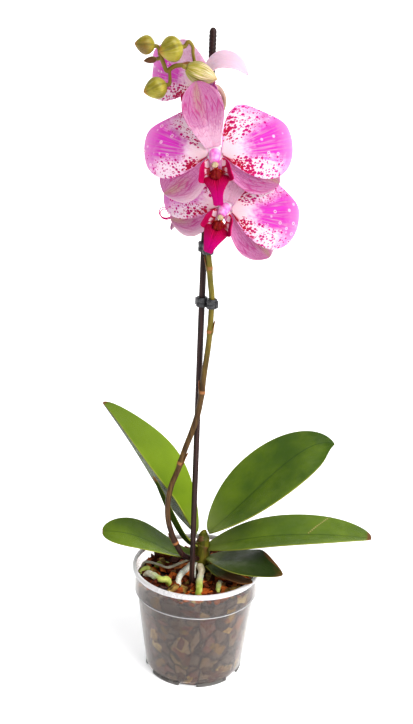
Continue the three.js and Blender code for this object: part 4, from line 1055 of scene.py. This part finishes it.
petal_skin, rho, xi, seed, pale, face, flat = tepal_finish("petal_skin", "face")
cloud = noise(flat, 0.13, 4, 0.6)
soft = noise(flat, 0.30, 2, 0.5)
fibre = fibres(rho * 2.2, xi * 26.0, seed)
outer = rho + (soft - 0.5) * 0.3
middle = abs(xi + ((cloud - 0.5) * 0.42 + (fibre - 0.5) * 0.30) + 0.12)
petal_skin.colour = blend(ease(rho, 0.1, 0.4), (0.84, 0.60, 0.66), (0.85, 0.67, 0.77))
margin = ease(outer + xi * 0.16, 0.64, 0.86).or_more(ease(abs(xi), 0.78, 0.92, 0, 0.8))
petal_skin.paint(margin, (0.74, 0.30, 0.60))
petal_skin.paint(ease(rho, 0.93, 1.0, 0, 0.5), (0.82, 0.50, 0.72))
flush = ease(middle, 0.20, 0.46, 1, 0) * ease(outer, 0.22, 0.50)
flush = flush * ease(fibre, 0.3, 0.6, 0.62, 1.0) * ease(rho, 0.74, 1.0, 1.0, 0.30)
petal_skin.paint(flush, blend(ease(fibre, 0.35, 0.7), (0.50, 0.009, 0.34), (0.67, 0.040, 0.51)))
petal_skin.paint(ease(fibre, 0.55, 0.8, 0, 0.16), (0.72, 0.18, 0.54))
zone = ease(middle, 0.22, 0.38) * ease(rho, 0.16, 0.26) * ease(outer, 0.84, 0.96, 1, 0)
zone = zone * ease(abs(xi), 0.90, 0.98, 1, 0)
crowd = ease(rho, 0.25, 0.85, 1, 0) * ease(abs(xi), 0.4, 0.85, 0.45, 1)
spots, _, _ = freckles(flat, 0.43, crowd * 0.46 + 0.36, zone * ease(crowd, 0, 0.5, 0.85, 1.0), Wobble=0.9)
small, _, _ = freckles(flat, 0.85, 0.42, zone * 0.55, Wobble=0.4)
_, ring, lot = freckles(flat, 0.20, 0.2, 0.3, Wobble=0.3)
pick = (lot < 0.8) * ease(rho, 0.50, 0.62)
petal_skin.paint(pick * ease(ring, 0.16, 0.30, 0.85, 0), (0.84, 0.60, 0.74))
petal_skin.paint(pick * ease(ring, 0.08, 0.14, 1, 0), (0.52, 0.02, 0.22))
blotch = ease(xi, -0.88, -0.62, 1, 0) * ease(rho + soft * 0.25, 0.28, 0.36, 1, 0)
speckled = spots.or_more(small).or_more(blotch)
petal_skin.paint(speckled, blend(crowd, (0.56, 0.008, 0.25), (0.42, 0.001, 0.035)))
petal_skin.paint(pale * ease(fibre, 0.3, 0.7, 0.95, 0.75), (0.80, 0.50, 0.72))
back = blend(ease(fibre, 0.4, 0.7), (0.80, 0.52, 0.74), (0.72, 0.36, 0.64))
petal_skin.paint(ease(face, -0.5, 0.5, 1, 0), back)
petal_skin.finish(fibre + noise(flat, 3.0, 3) * 0.4, 0.0006, 0.6)

sepal_skin, rho, xi, seed, pale, dorsal, flat = tepal_finish("sepal_skin", "dorsal")
soft = noise(flat, 0.35, 4)
lines = cracks(vector(rho * 1.1, xi * 6.5 + soft * 0.4, seed), 1.0, 0.45)
net = cracks(vector(rho * 9.0, xi * 7.0 + rho * 1.5, seed), 1.0)
tint = rho + (soft - 0.5) * 0.5
sepal_skin.colour = blend(ease(tint, 0.08, 0.55), (0.80, 0.50, 0.64), (0.53, 0.20, 0.38))
sepal_skin.paint(ease(abs(xi), 0.80, 0.98, 0, 0.45), (0.72, 0.42, 0.56))
sepal_skin.paint(ease(tint, 0.15, 0.75, 0.6, 0) * ease(dorsal, 0.3, 0.7, 1, 0), (0.60, 0.12, 0.42))
greenish = ease(abs(xi - 0.15), 0.0, 0.42, 1, 0) * ease(rho, 0.30, 0.85)
sepal_skin.paint(greenish * 0.65, (0.42, 0.30, 0.17))
vein = ease(lines, 0.01, 0.07, 0.70, 0).or_more(ease(net, 0.01, 0.07, 0.42, 0))
sepal_skin.paint(vein * ease(rho, 0.02, 0.4, 0.45, 1), (0.44, 0.022, 0.20))
dots, _, _ = freckles(flat, 0.42, 0.17, ease(rho, 0.18, 0.5, 0.28, 0) * ease(dorsal, 0.4, 0.6), Wobble=0.2)
sepal_skin.paint(dots, (0.50, 0.02, 0.26))
sepal_skin.paint(ease(xi, 0.45, 0.95) * ease(dorsal, 0.3, 0.7, 0.75, 0), (0.80, 0.58, 0.66))
sepal_skin.paint(pale * 0.68, (0.84, 0.68, 0.77))
sepal_skin.finish(vein + soft, 0.0006, 0.6)

SEPAL = dict(sheet=sepal_sheet, skin=sepal_skin, slot="sepal_mauve", sweep=0, twist=0)
PETAL = dict(sheet=petal_sheet, skin=petal_skin, slot="petal_pink", sweep=0, hub=4.6, length=54, spread=66,
             rise=0.6, lean=7, recurve=12)
LOWER = dict(SEPAL, hub=4.5, rise=-1.6, lean=14, recurve=10, cup=0.08)
TEPALS = {  # mm and degrees. spread is half a sepal's width in mm, or half a petal's fan in degrees
    "dorsal_sepal": dict(SEPAL, hub=5.7, angle=90, length=55, spread=16, rise=0, lean=-11, recurve=24,
                         cup=0.10),
    "left_sepal": dict(LOWER, angle=212, length=49, spread=17),
    "right_sepal": dict(LOWER, angle=-32, length=51, spread=15),
    "left_petal": dict(PETAL, angle=162),
    "right_petal": dict(PETAL, angle=18),
}
ADJUST = {
    ("bloom_front", "left_petal"): dict(length=51, spread=62, angle=154),
    ("bloom_front", "dorsal_sepal"): dict(angle=98, lean=-25, recurve=34, length=49.5, spread=15),
    ("bloom_low", "left_petal"): dict(lean=2, angle=168, spread=60, length=49.5),
    ("bloom_low", "right_petal"): dict(angle=23, length=55.5),
    ("bloom_low", "dorsal_sepal"): dict(lean=-7),
    ("bloom_top", "dorsal_sepal"): dict(lean=0, recurve=156, length=51, spread=12, twist=24),
    ("bloom_top", "left_petal"): dict(lean=-34, recurve=6, angle=160, spread=68, length=60, sweep=18),
    ("bloom_top", "right_petal"): dict(lean=8, length=24, spread=45),
    ("bloom_top", "right_sepal"): dict(hub=5.4, angle=-56, length=28),
    ("bloom_top", "left_sepal"): dict(angle=222, lean=4),
    ("bloom_left", "right_petal"): dict(lean=22, angle=32, spread=48),
    ("bloom_left", "right_sepal"): dict(lean=-28, angle=-70, rise=-6, length=54),
}
PALE = {  # how much paler two blades of the top flower are made, across them
    ("bloom_top", "dorsal_sepal"): lambda x: 1 + 0 * x,
    ("bloom_top", "left_petal"): lambda x: np.clip(2 * x, 0, 1),
}

for number, bloom in enumerate(BLOOMS):
    for name, usual in TEPALS.items():
        spec = SimpleNamespace(**{**usual, **ADJUST.get((bloom, name), {})})
        sheet, rho, xi, flat_x, flat_y = spec.sheet(spec)
        rings, both, face = sheet_rings(flower_points(bloom, sheet), TEPAL_THICKNESS, 10, 14, 0.35)
        up = np.cross(np.diff(sheet, axis=0)[:, :-1], np.diff(sheet, axis=1)[:-1])[..., 2].mean()
        paleness = PALE[bloom, name](xi) if (bloom, name) in PALE else 0
        piece(f"{bloom}_{name}_skin", [rings], spec.skin, spec.slot, f"{bloom}_{name}", ends="strip",
              rho=[both(rho)], xi=[both(xi)], flat_x=[both(flat_x)], flat_y=[both(flat_y)],
              face=[face * np.sign(up)], seed=[both(0.37 * number + (0.11 if spec.angle > 90 else 0))],
              dorsal=[both(float(name == "dorsal_sepal"))], pale=[both(paleness)])

# ---- Lips and columns -----------------------------------------------------------------------
# The third petal is a stiff, glossy lip: two ears curled up beside a knobbly callus, and a spear-
# shaped middle lobe with a pair of tendrils. Above it the column ends in a cream anther cap.

LOBE_TOP, LOBE_LENGTH, LOBE_NECK, LOBE_WIDEST, LOBE_POINT, LOBE_SHOULDER = -13, 22.5, 3.5, 10.5, 3.7, 0.25
WAXY = dict(Roughness=0.5, Subsurface_Weight=0.1, Subsurface_Scale=0.001)

lip_skin = Finish("lip_skin", **WAXY, Specular_IOR_Level=0.08)
u, v = lip_skin.read("u", "v")
lines = stripes(v * 2.6, u, Warp=1.4)
lip_skin.colour = blend(ease(u, 0.10, 0.85), (0.40, 0.001, 0.045), (0.70, 0.001, 0.24))
lip_skin.paint(ease(abs(v), 0.0, 0.35, 1, 0) * ease(u, 0.1, 0.6, 0.8, 0), (0.36, 0.002, 0.03))
lip_skin.paint(ease(lines, 0.6, 0.95, 0, 0.3), (0.45, 0.0, 0.10))
lip_skin.finish(lines + noise(lip_skin.place(), 500, 3), 0.0004)

ear_skin = Finish("ear_skin", **WAXY, Specular_IOR_Level=0.12)
u, v, face = ear_skin.read("u", "v", "face")
where = ear_skin.place()
wisp = noise(where, 260, 3)
stripe = stripes(u * 1.5, v, Scale=0.8, Warp=6.0, Detail=3.0, Spread=2.0)
ear_skin.colour = blend(ease(stripe + wisp, 1.25, 1.40), (0.84, 0.58, 0.66), (0.50, 0.006, 0.05))
ear_skin.paint(ease(u + wisp * 0.3, 0.30, 0.46, 0.9, 0), (0.76, 0.20, 0.03))
blotch = ease(abs(u - 0.46), 0.10, 0.22, 1, 0) * ease(v + wisp * 0.4, 0.50, 0.36)
ear_skin.paint(blotch * 0.9, (0.46, 0.004, 0.03))
ear_skin.paint(creeping(v, wisp, Share=0.3, Low=0.46, High=0.58), (0.44, 0.002, 0.085))
outside = blend(ease(v, 0.1, 0.6), (0.75, 0.14, 0.05), (0.55, 0.004, 0.13))
outside = blend(mottle(where, 330, 3, Low=0.4, High=0.75, Most=0.35)[0], outside, (0.78, 0.04, 0.30))
ear_skin.paint(ease(face, -0.5, 0.5), outside)
ear_skin.finish(noise(where, 450, 3), 0.0004)

callus_skin = Finish("callus_skin", **WAXY, Specular_IOR_Level=0.15)
blotched, blotch = mottle(callus_skin.place(), 420, 3, Low=0.50, High=0.62)
callus_skin.colour = blend(blotched, (0.24, 0.002, 0.006), (0.64, 0.10, 0.012))
callus_skin.paint(ease(callus_skin.read("dark")[0], 0.3, 0.9), (0.17, 0.002, 0.006))
callus_skin.finish(blotch, 0.0006)

column_skin = Finish("column_skin", Roughness=0.42, Subsurface_Weight=0.15, Subsurface_Scale=0.001,
                     Coat_Weight=0.1)
rosy, blush = mottle(column_skin.place(), 230, 3)
creamy, pale = column_skin.read("cream", "pale")
column_skin.colour = blend(rosy, (0.76, 0.10, 0.50), (0.86, 0.42, 0.70))
ivory = blend(ease(blush, 0.4, 0.65), (0.50, 0.40, 0.24), (0.66, 0.54, 0.38))
column_skin.paint(ease(creamy, 0.3, 0.7), ivory)
column_skin.paint(pale, (0.92, 0.78, 0.84))
column_skin.finish(blush, 0.0004)


def ellipsoid(centre, size, rows=22, sides=30):
    """Rings of an ellipsoid, from its lowest to its highest Y."""
    a = np.linspace(0.06, np.pi - 0.06, rows)[:, None]
    b = np.linspace(0, 2 * np.pi, sides, endpoint=False)[None]
    ball = np.stack([np.sin(a) * np.cos(b), -np.cos(a) + 0 * b, np.sin(a) * np.sin(b)], -1)
    return np.array(centre) + ball * size


def lobe_sheet(u, v, power):
    """The spear: its half width swells by a sine to the shoulder, then falls as (1 - a)^power. It
    arches out by 9 sin(2.2 u), with a groove down its middle."""
    rising = np.clip(u / LOBE_SHOULDER, 0, 1)
    after = np.clip((u - LOBE_SHOULDER) / (1 - LOBE_SHOULDER), 0, 1)
    swelling = LOBE_NECK + (LOBE_WIDEST - LOBE_NECK) * np.sin(rising * np.pi / 2) ** 1.6
    narrowing = LOBE_POINT + (LOBE_WIDEST - LOBE_POINT) * (1 - after) ** power
    half = np.where(u < LOBE_SHOULDER, swelling, narrowing)
    half = half * np.where(u > 0.965, np.sqrt(np.clip(1 - ((u - 0.965) / 0.038) ** 2, 0.2, 1)), 1)
    across = half * v
    out = 6 + 9 * np.sin(2.2 * u) - 0.035 * across ** 2 - 0.9 * np.exp(-(v / 0.12) ** 2) * (1 - u)
    out = out + 0.5 * np.exp(-((u - 0.3) / 0.12) ** 2) * np.cos(3 * v)
    down = LOBE_TOP - LOBE_LENGTH * u + 1.8 * np.abs(v) * np.exp(-((u - 0.22) / 0.1) ** 2)
    return np.stack([across, down, out], -1)


def tendril(w, sign, long):
    """One of the pair at the lobe's tip: a long inward spiral, or a short curl tucked under it."""
    if long:
        curl, wide = np.radians(142 + 400 * w), 7.6 * (1 - 0.62 * w)
        return np.stack([sign * (1.3 + 2.4 * w), -39 + wide * np.sin(curl) - 3 * w,
                         19 + wide * np.cos(curl) + 2 * w], -1)
    curl = 4.5 * w ** 0.8
    return np.stack([sign * (1.3 + 1.4 * np.sin(curl) * w ** 0.3), -34.4 - 1.5 * np.sin(curl * 0.8),
                     12.6 - 1.6 * (1 - np.cos(curl))], -1)


def ear_sheet(a, reach, b, sign):
    """An ear: a goes up its foot and b out from it, with reach rounding both ends."""
    wide = 9.7 * np.sin(reach * np.pi / 2) * (1 - 0.55 * a ** 1.5)
    return np.stack([sign * (3.3 + 1.8 * a + wide + 0.3 * np.sin(9 * a) * b), -19.5 + 17.5 * a - 1.5 * reach,
                     4.5 + 10 * reach ** 1.6 + 0.4 * np.sin(12 * a) * b ** 2], -1)


for bloom in BLOOMS:
    lip = f"{bloom}_lip"
    u, v = (1 - (1 - np.linspace(0, 1, 54)) ** 1.2)[:, None], np.linspace(-1, 1, 33)[None]
    lobe = lobe_sheet(u, v, 1.5 if bloom == "bloom_low" else 3.2)
    rings, both, _ = sheet_rings(flower_points(bloom, lobe), 1.15, 8, 16, 0.35)
    piece(f"{lip}_lobe", [rings], lip_skin, "lip_crimson", lip, ends="strip", u=[both(u)], v=[both(v)])
    w = np.linspace(0, 1, 60)
    tendrils = [limb(flower_points(bloom, tendril(w, sign, bloom == "bloom_left")), 0.62 - 0.4 * w, 12)[0]
                for sign in (-1, 1)]
    piece(f"{lip}_tendrils", tendrils, lip_skin, "lip_crimson", lip, u=[0.95, 0.95], v=[0.5, 0.5])
    ears, us, vs, faces = [], [], [], []
    a, b = np.linspace(0, 1, 40)[:, None], np.linspace(0, 1, 30)[None]
    reach = b * np.sqrt(np.maximum(0.03, 1 - (2 * a - 1) ** 2))
    for sign in (-1, 1):
        rings, both, face = sheet_rings(flower_points(bloom, ear_sheet(a, reach, b, sign)), 1.0, 10, 30, 0.4)
        ears.append(rings)
        us.append(both(a))
        vs.append(both(reach))
        faces.append(sign * face)
    piece(f"{lip}_ears", ears, ear_skin, "lip_crimson", lip, ends="strip", u=us, v=vs, face=faces)
    base = ellipsoid([0, -15.5, 4.5], [6, 6, 3])
    base[..., 2] += 0.5 * np.sin(base[..., 0] * 2.1)
    knob = ellipsoid([0, -13.8, 8.6], [4.0, 4.2, 3.6], 26, 36)
    cleft = np.cos(np.clip((knob[..., 2] - 9) * 1.2, -1.5, 1.5)) * np.exp(-(knob[..., 0] / 0.8) ** 2)
    knob[..., 0] *= 1 - 0.25 * cleft
    knob[..., 2] -= 1.0 * np.exp(-(knob[..., 0] / 0.55) ** 2) * (knob[..., 2] > 9)
    claw, _, _ = limb([[0, -13, 3], [0, -11, 1.9], [0, -9, 0.8], [0, -7.4, -0.3], [0, -5.8, -1.3]], 1.35, 18)
    piece(f"{lip}_callus", [flower_points(bloom, part) for part in (base, knob, claw)], callus_skin,
          "lip_crimson", lip, dark=[0, 0.75, 0])
    w = np.linspace(0, 1, 34)
    shaft = catmull([[0, 1.5, -3.6], [0, 0.5, 1], [0, -2, 5.5], [0, -5, 9]], 34)
    close = np.sqrt(np.clip(1 - (np.clip(w - 0.88, 0, 1) / 0.125) ** 2, 0.03, 1))
    girth = (3.7 + 0.8 * np.sin(np.pi * w) - 0.9 * w) * close
    body, t, _ = limb(shaft, girth, 34, lambda t, a: 1 + 0.05 * np.cos(2 * a))
    seat = ellipsoid([0, 0.8, -1.35], [6.2, 6.4, 1.9])
    cap = ellipsoid([0, -6.4, 9.4], [2.5, 2.2, 2.2])
    cap[..., 2] -= 0.5 * np.exp(-(cap[..., 0] / 0.4) ** 2) * (cap[..., 2] > 10)
    piece(f"{bloom}_column_skin", [flower_points(bloom, part) for part in (seat, body, cap)], column_skin,
          "column_pink", f"{bloom}_column", cream=[0, 0.2 * (t > 0.93), 1], pale=[1, 0, 0])

# ---- Buds -----------------------------------------------------------------------------------
# Closed buds: three thick sepals pressed edge to edge round the petals, waxy yellow-green, blushed
# brown-pink where the sun falls, with pale lengthwise streaks.

bud_skin = Finish("bud_skin", Roughness=0.4, Specular_IOR_Level=0.35, Subsurface_Weight=0.1,
                  Subsurface_Scale=0.0015)
along, turn, blush, creamy, seam = bud_skin.read("along", "round", "blush", "cream", "seam")
cloudy, patch = mottle(bud_skin.place(), 90)
streak = fibres(along * 0.7, turn * 3.0, blush, Scale=2.4)
bud_skin.colour = blend(cloudy, (0.22, 0.19, 0.012), (0.44, 0.38, 0.045))
bud_skin.paint(ease(streak, 0.45, 0.75, 0, 0.4), (0.60, 0.52, 0.20))
bud_skin.paint(ease(streak, 0.25, 0.42, 0.35, 0), (0.13, 0.10, 0.012))
bud_skin.paint(creeping(blush, patch, High=1.1), (0.14, 0.055, 0.018))
bud_skin.paint(ease(along, 0.80, 1.0, 0, 0.7), (0.46, 0.17, 0.02))
bud_skin.paint(creamy * creeping(streak, along, Share=0.3, Low=0.52, High=0.80), (0.78, 0.62, 0.42))
bud_skin.paint(ease(seam, 0.2, 0.9, 0, 0.42), (0.10, 0.08, 0.010))
bud_skin.finish(streak + patch, 0.0006)
for name, (base, tip, radius, _, _, blush) in BUDS.items():
    w = (1 - np.cos(np.linspace(0, np.pi, 70))) / 2
    line = np.array(base, float) + (np.array(tip, float) - base) * w[:, None]
    girth = radius * np.maximum(0.04, np.sin(np.pi * np.minimum(0.993, 0.05 + 0.95 * w) ** 0.82) ** 0.72)
    rings, _, angle = limb(line, girth, 72)
    t = w[:, None] + 0 * angle
    apart = 1 - np.cos(3 * angle + 1.2 * t)
    seam, wide = np.exp(-(apart / 0.10) ** 2), np.exp(-(apart / 0.55) ** 2)
    axis = line[:, None]
    ribbed = 1 - 0.045 * wide - 0.03 * seam + 0.012 * np.cos(18 * angle) * np.sin(np.pi * t)
    sunny = blush * (0.6 + 0.7 * np.sin(np.pi * t * 0.9)) * (0.7 + 0.3 * np.cos(angle - 1))
    piece(f"{name}_skin", [axis + (rings - axis) * ribbed[..., None]], bud_skin, "bud_green", name, along=[t],
          round=[angle + 0.8 * np.sin(angle)], seam=[seam], blush=[sunny],
          cream=[(name == "bud_big") * np.sin(np.pi * t) ** 0.5])
